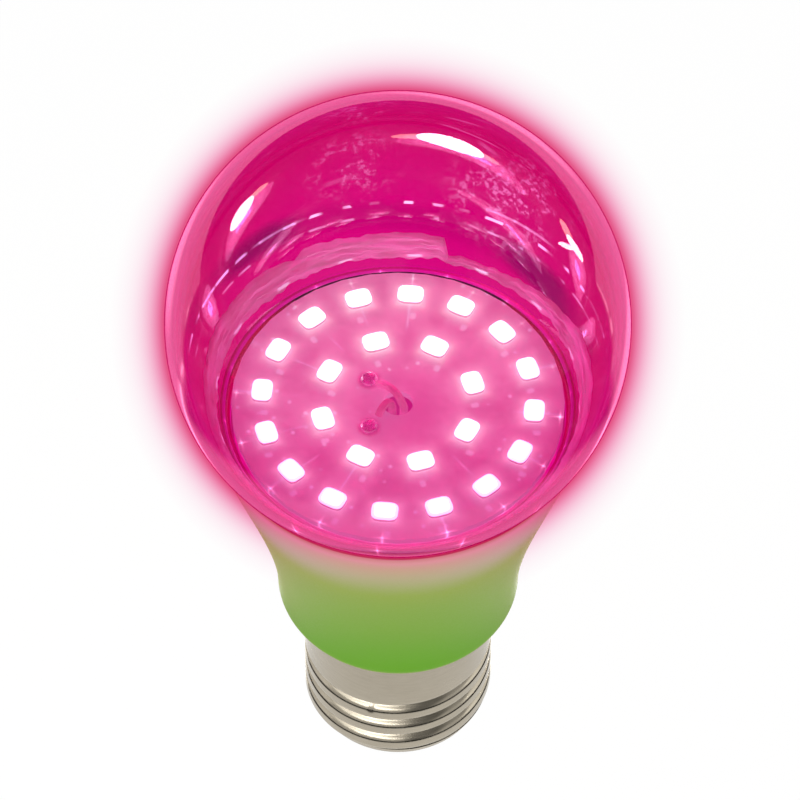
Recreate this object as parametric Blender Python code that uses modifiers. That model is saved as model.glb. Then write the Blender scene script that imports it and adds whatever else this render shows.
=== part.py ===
# LED grow bulb: clear pink globe, green neck, screw cap, and the light engine and driver inside.
# Lengths are in metres. The origin is the centre of the end contact's flat face, and +Z runs up
# the bulb's axis, from the cap to the globe.

import math

import bmesh
import bpy
import numpy as np

MM = 0.001

# Clearances between pieces that touch on the real bulb
SEAT = 0.3 * MM
SOLDER_FILM = 0.1 * MM

# Facets of the round pieces
ROUND_STEPS = 36
SMALL_STEPS = 20
BEAD_STEPS = 12

# End contact: a flanged rivet through the insulator
CONTACT_RADIUS = 4.6 * MM
CONTACT_FLAT_RADIUS = 3.6 * MM
CONTACT_HEIGHT = 1.0 * MM
STEM_RADIUS = 1.4 * MM
STEM_TAIL = 0.7 * MM

# Insulator: a cone between the contact and the shell, with a plug inside the shell
INSULATOR_TIP_RADIUS = 5.4 * MM
INSULATOR_CONE_HEIGHT = 3.0 * MM
INSULATOR_PLUG_HEIGHT = 2.1 * MM
INSULATOR_FLANGE_HEIGHT = 1.0 * MM
INSULATOR_FLANGE_REACH = 1.2 * MM

# Screw shell: rolled thread of 27 mm class, with a plain collar above it
THREAD_PITCH = 3.629 * MM
THREAD_TURNS = 4
THREAD_CREST_RADIUS = 13.1 * MM
THREAD_DEPTH = 1.0 * MM
THREAD_FRONT_PHASE = 0.17
THREAD_ROWS_PER_TURN = 5
SHELL_WALL = 0.4 * MM
SHELL_LIP_HEIGHT = 1.0 * MM
SHELL_LIP_RADIUS = 10.0 * MM
COLLAR_HEIGHT = 9.9 * MM

# Globe: a sphere cut off at the seam, with a spigot that plugs into the housing
GLOBE_RADIUS = 30.0 * MM
GLOBE_WALL = 1.0 * MM
GLOBE_SPIGOT_WALL = 0.6 * MM
GLOBE_SPIGOT_LENGTH = 2.6 * MM
GLOBE_OVERHANG = 5.6 * MM
GLOBE_SEAM_STEP = 0.2 * MM

# Board with the light-emitting packages: the rings keep their place from its edge
LED_BOARD_THICKNESS = 1.0 * MM
LED_BOARD_HOLE_RADIUS = 2.0 * MM
LED_LENGTH = 3.5 * MM
LED_WIDTH = 2.8 * MM
LED_HEIGHT = 0.7 * MM
LED_CORNER = 0.55 * MM
OUTER_RING_INSET = 4.12 * MM
OUTER_RING_COUNT = 16
OUTER_RING_TURN = math.radians(17.1)
INNER_RING_SHARE = 0.57
INNER_RING_COUNT = 8
INNER_RING_TURN = math.radians(16.7)

# Housing: the green shell, flared to the globe and drawn in to the neck
LIP_WALL = 1.2 * MM
HOUSING_WALL = 1.6 * MM
HOUSING_HEIGHT = 38.7 * MM
HOUSING_NECK_RADIUS = 16.5 * MM
HOUSING_EDGE_RADIUS = 1.6 * MM
FLARE_START = 4.6 * MM
NECK_STRAIGHTENING = 13.6 * MM
SPIGOT_LENGTH = 9.0 * MM
SPIGOT_WALL = 1.4 * MM

# Heat sink: the aluminium cup inside the housing, which carries the board
CUP_RECESS = 0.35 * MM
CUP_WALL = 1.0 * MM
CUP_LEDGE = 5.0 * MM
CUP_DEPTH = 27.0 * MM

# Silicone bead squeezed up the inside of the globe above the board
ADHESIVE_HEIGHT = 2.4 * MM
ADHESIVE_THICKNESS = 0.5 * MM

# Driver board and what it carries
DRIVER_BOARD_THICKNESS = 1.2 * MM
DRIVER_BOARD_HEIGHT = 38.0 * MM
DRIVER_BOARD_RISE = 1.1 * MM
CAPACITOR_RADIUS = 4.0 * MM
INPUT_CAPACITOR_LENGTH = 12.0 * MM
OUTPUT_CAPACITOR_LENGTH = 11.0 * MM
CRIMP_HEIGHT = 1.4 * MM
CRIMP_GROOVE = 0.25 * MM
FILM_CAPACITOR_SIZE = (9.0 * MM, 4.5 * MM, 8.0 * MM)
CORE_RADIUS = 4.5 * MM
CORE_HUB_RADIUS = 2.0 * MM
CORE_FLANGE = 1.2 * MM
CORE_CLEARANCE = 0.9 * MM
COIL_DEPTH = 1.8 * MM
BRIDGE_SIZE = (4.7 * MM, 2.4 * MM, 3.9 * MM)
CHIP_SIZE = (3.9 * MM, 1.5 * MM, 4.9 * MM)
DIODE_SIZE = (2.6 * MM, 2.2 * MM, 4.3 * MM)
CHIP_RESISTOR_SIZE = (1.6 * MM, 0.6 * MM, 3.2 * MM)
BLOCK_BEVEL = 0.2 * MM
COLUMN_GAP = 1.8 * MM
ROW_GAP = 1.0 * MM
CHIP_COLUMN = 4.0 * MM
BRIDGE_RISE = 7.0 * MM
CHIP_RISE = 8.0 * MM
RESISTOR_RISE = 16.0 * MM

# Wires and solder
WIRE_RADIUS = 0.55 * MM
WIRE_PAIR_HALF_GAP = 0.75 * MM
FUSE_RADIUS = 1.7 * MM
FUSE_LENGTH = 9.0 * MM
FUSE_LEAD_RADIUS = 0.4 * MM
SOLDER_RADIUS = 1.2 * MM
SOLDER_HEIGHT = 0.9 * MM
PAD_ANGLE = math.radians(134.3)
LEAD_ARCH = 1.7 * MM
LEAD_OVERLAP = 3.0 * MM
LEAD_HOLE_Y = -0.5 * MM
NEUTRAL_PAD_X = 6.0 * MM
NEUTRAL_OVERLAP = 5.0 * MM
NEUTRAL_DROP = 7.0 * MM

# Heights along the axis, each from the piece below it
INSULATOR_Z = CONTACT_HEIGHT + SEAT
SHELL_Z = INSULATOR_Z + INSULATOR_CONE_HEIGHT
THREAD_Z = SHELL_Z + SHELL_LIP_HEIGHT
COLLAR_Z = THREAD_Z + THREAD_TURNS * THREAD_PITCH
SHELL_TOP_Z = COLLAR_Z + COLLAR_HEIGHT
HOUSING_Z = SHELL_TOP_Z + SEAT
RIM_Z = HOUSING_Z + HOUSING_HEIGHT
CUP_TOP_Z = RIM_Z - CUP_RECESS
LED_BOARD_Z = CUP_TOP_Z + SEAT
LED_BOARD_TOP_Z = LED_BOARD_Z + LED_BOARD_THICKNESS
SEAM_Z = RIM_Z + SEAT
DRIVER_BOARD_Z = HOUSING_Z - SPIGOT_LENGTH + DRIVER_BOARD_RISE
DRIVER_BOARD_TOP_Z = DRIVER_BOARD_Z + DRIVER_BOARD_HEIGHT
NECK_FLOOR_Z = HOUSING_Z + HOUSING_WALL

# Radii that follow from the globe inwards: its seam, the lip, the spigot, the board, the rings
SEAM_RADIUS = GLOBE_RADIUS - GLOBE_OVERHANG
RIM_RADIUS = SEAM_RADIUS + GLOBE_SEAM_STEP
LIP_INNER = RIM_RADIUS - LIP_WALL
SPIGOT_OUTER = LIP_INNER - SEAT
SPIGOT_INNER = SPIGOT_OUTER - GLOBE_SPIGOT_WALL
LED_BOARD_RADIUS = SPIGOT_INNER - SEAT
OUTER_RING_RADIUS = LED_BOARD_RADIUS - OUTER_RING_INSET
INNER_RING_RADIUS = INNER_RING_SHARE * OUTER_RING_RADIUS
PAD_RADIUS = (LED_BOARD_HOLE_RADIUS + INNER_RING_RADIUS - LED_WIDTH / 2) / 2
SHOULDER_Z = SEAM_Z - GLOBE_SPIGOT_LENGTH - SEAT
GLOBE_Z = SEAM_Z + math.sqrt(GLOBE_RADIUS**2 - SEAM_RADIUS**2)

# Radii that follow from the shell inwards
SHELL_BORE = THREAD_CREST_RADIUS - SHELL_WALL
CAP_SPIGOT_RADIUS = SHELL_BORE - SEAT
CAP_SPIGOT_BORE = CAP_SPIGOT_RADIUS - SPIGOT_WALL
THREAD_ROOT_RADIUS = THREAD_CREST_RADIUS - THREAD_DEPTH
INSULATOR_NECK_RADIUS = SHELL_LIP_RADIUS - SHELL_WALL - SEAT
DRIVER_FACE = DRIVER_BOARD_THICKNESS / 2
LEFT_COLUMN = -max(CAPACITOR_RADIUS, FILM_CAPACITOR_SIZE[0] / 2) - COLUMN_GAP / 2
RIGHT_COLUMN = max(CAPACITOR_RADIUS, CORE_RADIUS) + COLUMN_GAP / 2
NECK_BORE = HOUSING_NECK_RADIUS - HOUSING_WALL
CORE_REACH = math.sqrt((NECK_BORE - CORE_CLEARANCE) ** 2 - (RIGHT_COLUMN + CORE_RADIUS) ** 2)
CORE_HEIGHT = CORE_REACH - DRIVER_FACE - SEAT


def clear_scene():
    for item in list(bpy.data.objects):
        bpy.data.objects.remove(item, do_unlink=True)


def new_collection(name):
    collection = bpy.data.collections.new(name)
    bpy.context.scene.collection.children.link(collection)
    return collection


def new_material(name, colour, roughness, metallic=0.0, alpha=1.0):
    made = bpy.data.materials.new(name)
    made.use_nodes = True
    shader = made.node_tree.nodes["Principled BSDF"]
    shader.inputs["Base Color"].default_value = (*colour, 1.0)
    shader.inputs["Roughness"].default_value = roughness
    shader.inputs["Metallic"].default_value = metallic
    shader.inputs["Alpha"].default_value = alpha
    return made


clear_scene()
BULB = new_collection("led_bulb")
AXIS = bpy.data.objects.new("bulb_axis", None)
BULB.objects.link(AXIS)

MATERIALS = {
    "pink_globe": new_material("pink_globe", (0.80, 0.02, 0.25), 0.05, alpha=0.4),
    "green_housing": new_material("green_housing", (0.16, 0.41, 0.05), 0.35),
    "nickel_shell": new_material("nickel_shell", (0.62, 0.58, 0.50), 0.25, metallic=1.0),
    "aluminium_cup": new_material("aluminium_cup", (0.80, 0.80, 0.81), 0.35, metallic=1.0),
    "white_board": new_material("white_board", (0.86, 0.84, 0.84), 0.45),
    "led_package": new_material("led_package", (0.95, 0.85, 0.88), 0.40),
    "silicone": new_material("silicone", (0.85, 0.80, 0.80), 0.50),
    "black_insulator": new_material("black_insulator", (0.02, 0.02, 0.02), 0.30),
    "brass_contact": new_material("brass_contact", (0.72, 0.62, 0.42), 0.30, metallic=1.0),
    "solder": new_material("solder", (0.70, 0.70, 0.70), 0.30, metallic=1.0),
    "wire_red": new_material("wire_red", (0.50, 0.03, 0.03), 0.45),
    "wire_black": new_material("wire_black", (0.03, 0.03, 0.03), 0.45),
    "driver_board": new_material("driver_board", (0.55, 0.42, 0.22), 0.50),
    "capacitor_sleeve": new_material("capacitor_sleeve", (0.04, 0.05, 0.12), 0.35),
    "film_capacitor": new_material("film_capacitor", (0.45, 0.06, 0.04), 0.30),
    "ferrite": new_material("ferrite", (0.05, 0.05, 0.05), 0.60),
    "copper": new_material("copper", (0.72, 0.30, 0.14), 0.30, metallic=1.0),
    "chip_black": new_material("chip_black", (0.03, 0.03, 0.035), 0.50),
    "fuse_coating": new_material("fuse_coating", (0.25, 0.36, 0.25), 0.40),
}


def put(name, data, finish, location=(0, 0, 0), rotation=(0, 0, 0)):
    """One named piece of the bulb, in its collection and hung on the axis empty."""
    piece = bpy.data.objects.new(name, data)
    data.materials.append(MATERIALS[finish])
    piece.location = location
    piece.rotation_euler = rotation
    piece.parent = AXIS
    BULB.objects.link(piece)
    return piece


def arc(centre_r, centre_z, radius, start, end, count):
    """Points of a circle's arc in the (radius, height) plane, angles in degrees from +r."""
    turns = np.radians(np.linspace(start, end, count))
    return [(centre_r + radius * math.cos(t), centre_z + radius * math.sin(t)) for t in turns]


def turned(name, profile, finish, closed, steps=ROUND_STEPS, **place):
    """A turned piece. The profile runs down its outer side. A closed one is a ring's section,
    and an open one starts and ends on the axis."""
    data = bpy.data.meshes.new(name)
    points = [(r, 0.0, z) for r, z in profile]
    edges = [(i, i + 1) for i in range(len(points) - 1)]
    if closed:
        edges.append((len(points) - 1, 0))
    data.from_pydata(points, edges, [])
    piece = put(name, data, finish, **place)
    screw = piece.modifiers.new("turn", "SCREW")
    screw.steps = steps
    screw.render_steps = steps
    screw.use_merge_vertices = not closed
    screw.merge_threshold = 0.00001
    screw.use_smooth_shade = True
    return piece


def box(name, size, finish, edge=BLOCK_BEVEL, **place):
    """A moulded block with small bevels on all its edges."""
    shape = bmesh.new()
    bmesh.ops.create_cube(shape, size=1.0)
    bmesh.ops.scale(shape, vec=size, verts=shape.verts)
    data = bpy.data.meshes.new(name)
    shape.to_mesh(data)
    shape.free()
    piece = put(name, data, finish, **place)
    bevel = piece.modifiers.new("edge", "BEVEL")
    bevel.width = edge
    bevel.segments = 1
    return piece


def smooth_points(guides, count):
    """A smooth curve through the guide points: cubic Hermite spans with tangents along the
    chords between neighbours, read at evenly spaced parameters."""
    guides = np.array(guides)
    ends = np.vstack([guides[0], guides, guides[-1]])
    tangents = (ends[2:] - ends[:-2]) / 2
    place = np.linspace(0, len(guides) - 1.000001, count)
    span = place.astype(int)
    t = (place - span)[:, None]
    return (
        (2 * t**3 - 3 * t**2 + 1) * guides[span]
        + (t**3 - 2 * t**2 + t) * tangents[span]
        + (3 * t**2 - 2 * t**3) * guides[span + 1]
        + (t**3 - t**2) * tangents[span + 1]
    )


def wire(name, guides, radius, finish, count=14):
    """A wire of round section along a smooth route."""
    curve = bpy.data.curves.new(name, "CURVE")
    curve.dimensions = "3D"
    curve.bevel_depth = radius
    curve.bevel_resolution = 2
    curve.use_fill_caps = True
    route = smooth_points(guides, count)
    spline = curve.splines.new("POLY")
    spline.points.add(len(route) - 1)
    spline.points.foreach_set("co", np.column_stack([route, np.ones(len(route))]).ravel())
    return put(name, curve, finish)


def make_contact():
    rounding = CONTACT_RADIUS - CONTACT_FLAT_RADIUS
    stem_top = INSULATOR_Z + INSULATOR_CONE_HEIGHT + INSULATOR_PLUG_HEIGHT + STEM_TAIL
    profile = [
        (0.0, stem_top),
        (STEM_RADIUS, stem_top),
        (STEM_RADIUS, CONTACT_HEIGHT),
        (CONTACT_FLAT_RADIUS, CONTACT_HEIGHT),
        (CONTACT_RADIUS, CONTACT_HEIGHT - rounding / 4),
        (CONTACT_RADIUS, CONTACT_HEIGHT / 2),
        (CONTACT_RADIUS - rounding / 3, CONTACT_HEIGHT / 6),
        (CONTACT_FLAT_RADIUS, 0.0),
        (0.0, 0.0),
    ]
    turned("centre_contact", profile, "brass_contact", closed=False, steps=SMALL_STEPS)
    return stem_top


def make_insulator():
    bore = STEM_RADIUS + SEAT
    flange_radius = INSULATOR_NECK_RADIUS + INSULATOR_FLANGE_REACH
    top = INSULATOR_CONE_HEIGHT + INSULATOR_PLUG_HEIGHT
    profile = [
        (bore, top),
        (flange_radius, top),
        (flange_radius, top - INSULATOR_FLANGE_HEIGHT),
        (INSULATOR_NECK_RADIUS, top - INSULATOR_FLANGE_HEIGHT),
        (INSULATOR_NECK_RADIUS, INSULATOR_CONE_HEIGHT),
        (INSULATOR_TIP_RADIUS, 0.0),
        (bore, 0.0),
    ]
    turned("cap_insulator", profile, "black_insulator", closed=True, location=(0, 0, INSULATOR_Z))


def thread_radius(angle, height):
    """Radius of the rolled thread: a cosine between root and crest whose crest climbs one
    pitch a turn to the right, faded to the plain radius over half a turn at each end."""
    turn = height / THREAD_PITCH - (angle + math.pi / 2) / (2 * math.pi)
    wave = (1 + math.cos(2 * math.pi * (turn + THREAD_FRONT_PHASE))) / 2
    below = min(1.0, max(0.0, height / (THREAD_PITCH / 2)))
    above = min(1.0, max(0.0, (THREAD_TURNS * THREAD_PITCH - height) / (THREAD_PITCH / 2)))
    threaded = THREAD_ROOT_RADIUS + THREAD_DEPTH * wave * below
    return above * threaded + (1 - above) * THREAD_CREST_RADIUS


def shell_radius(angle, height):
    """Outer radius of the screw shell at a height above its lower edge."""
    if height < SHELL_LIP_HEIGHT:
        rise = math.sqrt(1 - (1 - height / SHELL_LIP_HEIGHT) ** 2)
        return SHELL_LIP_RADIUS + (THREAD_ROOT_RADIUS - SHELL_LIP_RADIUS) * rise
    return thread_radius(angle, min(height - SHELL_LIP_HEIGHT, THREAD_TURNS * THREAD_PITCH))


def make_shell():
    """A flat grid rolled into a tube, each point pushed out to the shell's radius, then
    thickened inwards."""
    lip = np.linspace(0, SHELL_LIP_HEIGHT, 4)[:-1]
    thread = np.linspace(0, THREAD_TURNS * THREAD_PITCH, THREAD_TURNS * THREAD_ROWS_PER_TURN + 1)
    collar = [SHELL_LIP_HEIGHT + thread[-1] + COLLAR_HEIGHT]
    rows = np.concatenate([lip, SHELL_LIP_HEIGHT + thread, collar])
    shape = bmesh.new()
    bmesh.ops.create_grid(shape, x_segments=ROUND_STEPS, y_segments=len(rows) - 1, size=0.5)
    for point in shape.verts:
        angle = 2 * math.pi * (point.co.x + 0.5)
        height = rows[round((point.co.y + 0.5) * (len(rows) - 1))]
        radius = shell_radius(angle, height)
        point.co = (radius * math.cos(angle), radius * math.sin(angle), height)
    bmesh.ops.remove_doubles(shape, verts=shape.verts, dist=0.000001)
    data = bpy.data.meshes.new("screw_shell")
    shape.to_mesh(data)
    shape.free()
    data.shade_smooth()
    piece = put("screw_shell", data, "nickel_shell", location=(0, 0, SHELL_Z))
    wall = piece.modifiers.new("wall", "SOLIDIFY")
    wall.thickness = SHELL_WALL
    wall.offset = -1.0
    wall.use_even_offset = True


def flare_curve():
    """Heights above the housing's base and outer radii of the flare, from the neck's edge up
    to the rim: a cubic Bezier, steep at the rim and nearly straight at the neck."""
    t = np.linspace(0, 1, 200)
    neck = np.array([HOUSING_NECK_RADIUS, HOUSING_EDGE_RADIUS])
    neck_pull = neck + (0.0, NECK_STRAIGHTENING)
    rim = np.array([RIM_RADIUS, HOUSING_HEIGHT])
    rim_pull = rim - (0.0, FLARE_START)
    weights = [(1 - t) ** 3, 3 * t * (1 - t) ** 2, 3 * t**2 * (1 - t), t**3]
    corners = (neck, neck_pull, rim_pull, rim)
    radius = sum(w * c[0] for w, c in zip(weights, corners))
    height = sum(w * c[1] for w, c in zip(weights, corners))
    return height, radius


FLARE_HEIGHTS, FLARE_RADII = flare_curve()


def housing_radius(height):
    """Outer radius of the housing at a height above its base."""
    return float(np.interp(height, FLARE_HEIGHTS, FLARE_RADII))


def make_housing():
    shoulder = SHOULDER_Z - HOUSING_Z
    floor = HOUSING_WALL
    outside = [(housing_radius(h), h) for h in np.linspace(HOUSING_HEIGHT, HOUSING_EDGE_RADIUS, 12)]
    edge_centre = HOUSING_NECK_RADIUS - HOUSING_EDGE_RADIUS
    edge = arc(edge_centre, HOUSING_EDGE_RADIUS, HOUSING_EDGE_RADIUS, 0, -90, 4)[1:]
    spigot = [
        (CAP_SPIGOT_RADIUS, 0.0),
        (CAP_SPIGOT_RADIUS, -SPIGOT_LENGTH),
        (CAP_SPIGOT_BORE, -SPIGOT_LENGTH),
        (CAP_SPIGOT_BORE, floor),
        (NECK_BORE, floor),
    ]
    inside = [
        (housing_radius(h) - HOUSING_WALL, h) for h in np.linspace(floor, shoulder, 9)[1:]
    ]
    lip = [(LIP_INNER, shoulder), (LIP_INNER, HOUSING_HEIGHT)]
    turned(
        "housing",
        outside + edge + spigot + inside + lip,
        "green_housing",
        closed=True,
        location=(0, 0, HOUSING_Z),
    )


def cup_radius(height):
    """Outer radius of the heat-sink cup at a height above the housing's base."""
    beside_housing = housing_radius(height) - HOUSING_WALL - SEAT
    return min(LED_BOARD_RADIUS, beside_housing)


def make_heat_sink():
    top = CUP_TOP_Z - HOUSING_Z
    bottom = top - CUP_DEPTH
    heights = [top, *np.linspace(SHOULDER_Z - HOUSING_Z, bottom, 7)]
    outside = [(cup_radius(h), h) for h in heights]
    inside = [(cup_radius(h) - CUP_WALL, h) for h in reversed(heights[1:])]
    ledge = [
        (LED_BOARD_RADIUS - CUP_WALL, top - CUP_WALL),
        (LED_BOARD_RADIUS - CUP_LEDGE, top - CUP_WALL),
        (LED_BOARD_RADIUS - CUP_LEDGE, top),
    ]
    turned(
        "heat_sink_cup",
        outside + inside + ledge,
        "aluminium_cup",
        closed=True,
        location=(0, 0, HOUSING_Z),
    )


def make_globe():
    """The globe's section: down the outside from the top, past the equator, round the spigot
    and up the inside."""
    drop = SEAM_Z - GLOBE_Z
    inner_radius = GLOBE_RADIUS - GLOBE_WALL
    seam_angle = math.degrees(math.atan2(drop, SEAM_RADIUS))
    inner_end = math.degrees(-math.acos(SPIGOT_INNER / inner_radius))
    above = arc(0, 0, GLOBE_RADIUS, 90, 0, 10)
    below = arc(0, 0, GLOBE_RADIUS, 0, seam_angle, 5)
    spigot = [
        (SPIGOT_OUTER, drop),
        (SPIGOT_OUTER, drop - GLOBE_SPIGOT_LENGTH),
        (SPIGOT_INNER, drop - GLOBE_SPIGOT_LENGTH),
    ]
    inside = arc(0, 0, inner_radius, inner_end, 90, 13)
    profile = [(0.0, GLOBE_RADIUS), *above[1:], *below[1:], *spigot, *inside[:-1]]
    profile.append((0.0, inner_radius))
    turned("globe", profile, "pink_globe", closed=False, location=(0, 0, GLOBE_Z))


def make_adhesive():
    """A thin ring on the globe's inner wall, from the board's level up."""
    outer = GLOBE_RADIUS - GLOBE_WALL - SEAT
    inner = outer - ADHESIVE_THICKNESS
    bottom = LED_BOARD_TOP_Z - GLOBE_Z
    top = bottom + ADHESIVE_HEIGHT
    low = math.degrees(math.asin(bottom / outer))
    high = math.degrees(math.asin(top / outer))
    low_inner = math.degrees(math.asin(bottom / inner))
    profile = arc(0, 0, outer, high, low, 4) + arc(0, 0, inner, low_inner, high, 4)
    turned("adhesive_ring", profile, "silicone", closed=True, location=(0, 0, GLOBE_Z))


def make_led_board():
    profile = [
        (LED_BOARD_HOLE_RADIUS, LED_BOARD_THICKNESS),
        (LED_BOARD_RADIUS, LED_BOARD_THICKNESS),
        (LED_BOARD_RADIUS, 0.0),
        (LED_BOARD_HOLE_RADIUS, 0.0),
    ]
    turned("led_board", profile, "white_board", closed=True, location=(0, 0, LED_BOARD_Z))


def led_mesh():
    """One package: a block with its four upright edges cut back."""
    shape = bmesh.new()
    bmesh.ops.create_cube(shape, size=1.0)
    bmesh.ops.scale(shape, vec=(LED_LENGTH, LED_WIDTH, LED_HEIGHT), verts=shape.verts)
    upright = [e for e in shape.edges if abs(e.verts[0].co.z - e.verts[1].co.z) > LED_HEIGHT / 2]
    bmesh.ops.bevel(shape, geom=upright, offset=LED_CORNER, segments=1, affect="EDGES")
    data = bpy.data.meshes.new("led_package")
    shape.to_mesh(data)
    shape.free()
    return data


def make_leds():
    """Two rings of packages, each turned along its ring."""
    rings = (
        (OUTER_RING_RADIUS, OUTER_RING_COUNT, OUTER_RING_TURN),
        (INNER_RING_RADIUS, INNER_RING_COUNT, INNER_RING_TURN),
    )
    package = led_mesh()
    package.materials.append(MATERIALS["led_package"])
    height = LED_BOARD_TOP_Z + SOLDER_FILM + LED_HEIGHT / 2
    number = 0
    for radius, count, first in rings:
        for k in range(count):
            number += 1
            angle = first + 2 * math.pi * k / count
            piece = bpy.data.objects.new(f"led_{number:02d}", package)
            piece.location = (radius * math.cos(angle), radius * math.sin(angle), height)
            piece.rotation_euler = (0, 0, angle + math.pi / 2)
            piece.parent = AXIS
            BULB.objects.link(piece)


def solder_dome():
    """Section of a solder joint: a low dome on its pad."""
    t = np.linspace(90, 0, 5)
    return [(SOLDER_RADIUS * math.cos(math.radians(a)), SOLDER_HEIGHT * math.sin(math.radians(a)))
            for a in t] + [(0.0, 0.0)]


def make_board_leads():
    """Two wires from the driver board's front face, up through the LED board's hole and over
    to their pads."""
    wire_y = -(DRIVER_FACE + SEAT + WIRE_RADIUS)
    start_z = DRIVER_BOARD_TOP_Z - LEAD_OVERLAP
    end_radius = PAD_RADIUS - SOLDER_RADIUS - SEAT - WIRE_RADIUS / 2
    end_z = LED_BOARD_TOP_Z + SEAT + WIRE_RADIUS
    arch_z = LED_BOARD_TOP_Z + LEAD_ARCH
    for name, side, finish in (("board_lead_positive", 1, "wire_red"),
                               ("board_lead_negative", -1, "wire_black")):
        outward = np.array([math.cos(PAD_ANGLE), side * math.sin(PAD_ANGLE)])
        pad = PAD_RADIUS * outward
        end = end_radius * outward
        lead_x = side * WIRE_PAIR_HALF_GAP
        hole = np.array([lead_x, LEAD_HOLE_Y])
        middle_y = (wire_y + LEAD_HOLE_Y) / 2
        guides = [
            (lead_x, wire_y, start_z),
            (lead_x, wire_y, (start_z + DRIVER_BOARD_TOP_Z) / 2),
            (lead_x, wire_y, DRIVER_BOARD_TOP_Z),
            (lead_x, middle_y, (DRIVER_BOARD_TOP_Z + LED_BOARD_Z) / 2),
            (lead_x, LEAD_HOLE_Y, LED_BOARD_Z),
            (lead_x, LEAD_HOLE_Y, LED_BOARD_TOP_Z),
            (*(hole + 0.3 * (end - hole)), arch_z),
            (*(hole + 0.7 * (end - hole)), arch_z),
            (*end, end_z),
        ]
        wire(name, guides, WIRE_RADIUS, finish, count=22)
        solder = name.replace("board_lead", "solder_joint")
        turned(solder, solder_dome(), "solder", closed=False, steps=BEAD_STEPS,
               location=(pad[0], pad[1], LED_BOARD_TOP_Z + SOLDER_FILM))


def make_driver_board():
    """The board stands in the housing's spigot, as wide as the spigot's bore lets it be."""
    half_width = math.sqrt((CAP_SPIGOT_BORE - SEAT) ** 2 - DRIVER_FACE**2)
    size = (2 * half_width, DRIVER_BOARD_THICKNESS, DRIVER_BOARD_TOP_Z - DRIVER_BOARD_Z)
    middle = (DRIVER_BOARD_Z + DRIVER_BOARD_TOP_Z) / 2
    box("driver_board", size, "driver_board", location=(0, 0, middle))


def make_capacitor(name, length, column, base_z):
    """An electrolytic capacitor lying along the board's rear face, with its crimp ring."""
    profile = [
        (0.0, length),
        (CAPACITOR_RADIUS, length),
        (CAPACITOR_RADIUS, CRIMP_HEIGHT + CRIMP_GROOVE),
        (CAPACITOR_RADIUS - CRIMP_GROOVE, CRIMP_HEIGHT),
        (CAPACITOR_RADIUS, CRIMP_HEIGHT - CRIMP_GROOVE),
        (CAPACITOR_RADIUS, 0.0),
        (0.0, 0.0),
    ]
    place = (column, DRIVER_FACE + SEAT + CAPACITOR_RADIUS, base_z)
    turned(name, profile, "capacitor_sleeve", closed=False, steps=SMALL_STEPS, location=place)


def make_inductor(column, centre_z):
    """A wound drum standing on the board's rear face: a flanged core and its coil."""
    hub = CORE_HUB_RADIUS
    core = [
        (0.0, CORE_HEIGHT),
        (CORE_RADIUS, CORE_HEIGHT),
        (CORE_RADIUS, CORE_HEIGHT - CORE_FLANGE),
        (hub, CORE_HEIGHT - CORE_FLANGE),
        (hub, CORE_FLANGE),
        (CORE_RADIUS, CORE_FLANGE),
        (CORE_RADIUS, 0.0),
        (0.0, 0.0),
    ]
    coil_bore = hub + SEAT
    coil = [
        (coil_bore, CORE_HEIGHT - CORE_FLANGE - SEAT),
        (coil_bore + COIL_DEPTH, CORE_HEIGHT - CORE_FLANGE - SEAT),
        (coil_bore + COIL_DEPTH, CORE_FLANGE + SEAT),
        (coil_bore, CORE_FLANGE + SEAT),
    ]
    place = {
        "location": (column, DRIVER_FACE + SEAT, centre_z),
        "rotation": (-math.pi / 2, 0, 0),
        "steps": SMALL_STEPS,
    }
    turned("inductor_core", core, "ferrite", closed=False, **place)
    turned("inductor_coil", coil, "copper", closed=True, **place)


def on_board(name, size, finish, side, column, centre_z):
    """A block mounted on the board's rear face (side 1) or front face (side -1)."""
    y = side * (DRIVER_FACE + SEAT + size[1] / 2)
    box(name, size, finish, location=(column, y, centre_z))


def make_fuse(stem_top):
    """The fusible resistor in the live lead: body and end leads on the bulb's axis, from the
    contact's stem to the driver board's lower edge."""
    bottom = stem_top + SEAT
    top = DRIVER_BOARD_Z - SEAT
    middle = (bottom + top) / 2
    half = FUSE_LENGTH / 2
    swell = 1.08 * FUSE_RADIUS
    body = [
        (FUSE_LEAD_RADIUS, middle + half),
        (swell, middle + 0.8 * half),
        (FUSE_RADIUS, middle + 0.5 * half),
        (FUSE_RADIUS, middle - 0.5 * half),
        (swell, middle - 0.8 * half),
        (FUSE_LEAD_RADIUS, middle - half),
    ]
    profile = [(0.0, top), (FUSE_LEAD_RADIUS, top)] + body
    profile += [(FUSE_LEAD_RADIUS, bottom), (0.0, bottom)]
    turned("fuse_resistor", profile, "fuse_coating", closed=False, steps=BEAD_STEPS)


def make_neutral_wire():
    """The wire from the driver board's front face down to the screw shell's inner wall."""
    front_y = -(DRIVER_FACE + SEAT + WIRE_RADIUS)
    wall_x = THREAD_ROOT_RADIUS - SHELL_WALL - SEAT - WIRE_RADIUS
    reach = wall_x - NEUTRAL_PAD_X
    spigot_end = HOUSING_Z - SPIGOT_LENGTH
    guides = [
        (NEUTRAL_PAD_X, front_y, DRIVER_BOARD_Z + NEUTRAL_OVERLAP),
        (NEUTRAL_PAD_X, front_y, DRIVER_BOARD_Z + NEUTRAL_OVERLAP / 2),
        (NEUTRAL_PAD_X + reach / 3, front_y, spigot_end - NEUTRAL_DROP / 6),
        (wall_x - reach / 5, front_y / 2, spigot_end - NEUTRAL_DROP / 2),
        (wall_x, 0.0, spigot_end - NEUTRAL_DROP),
    ]
    wire("neutral_wire", guides, WIRE_RADIUS, "wire_black", count=12)


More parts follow.
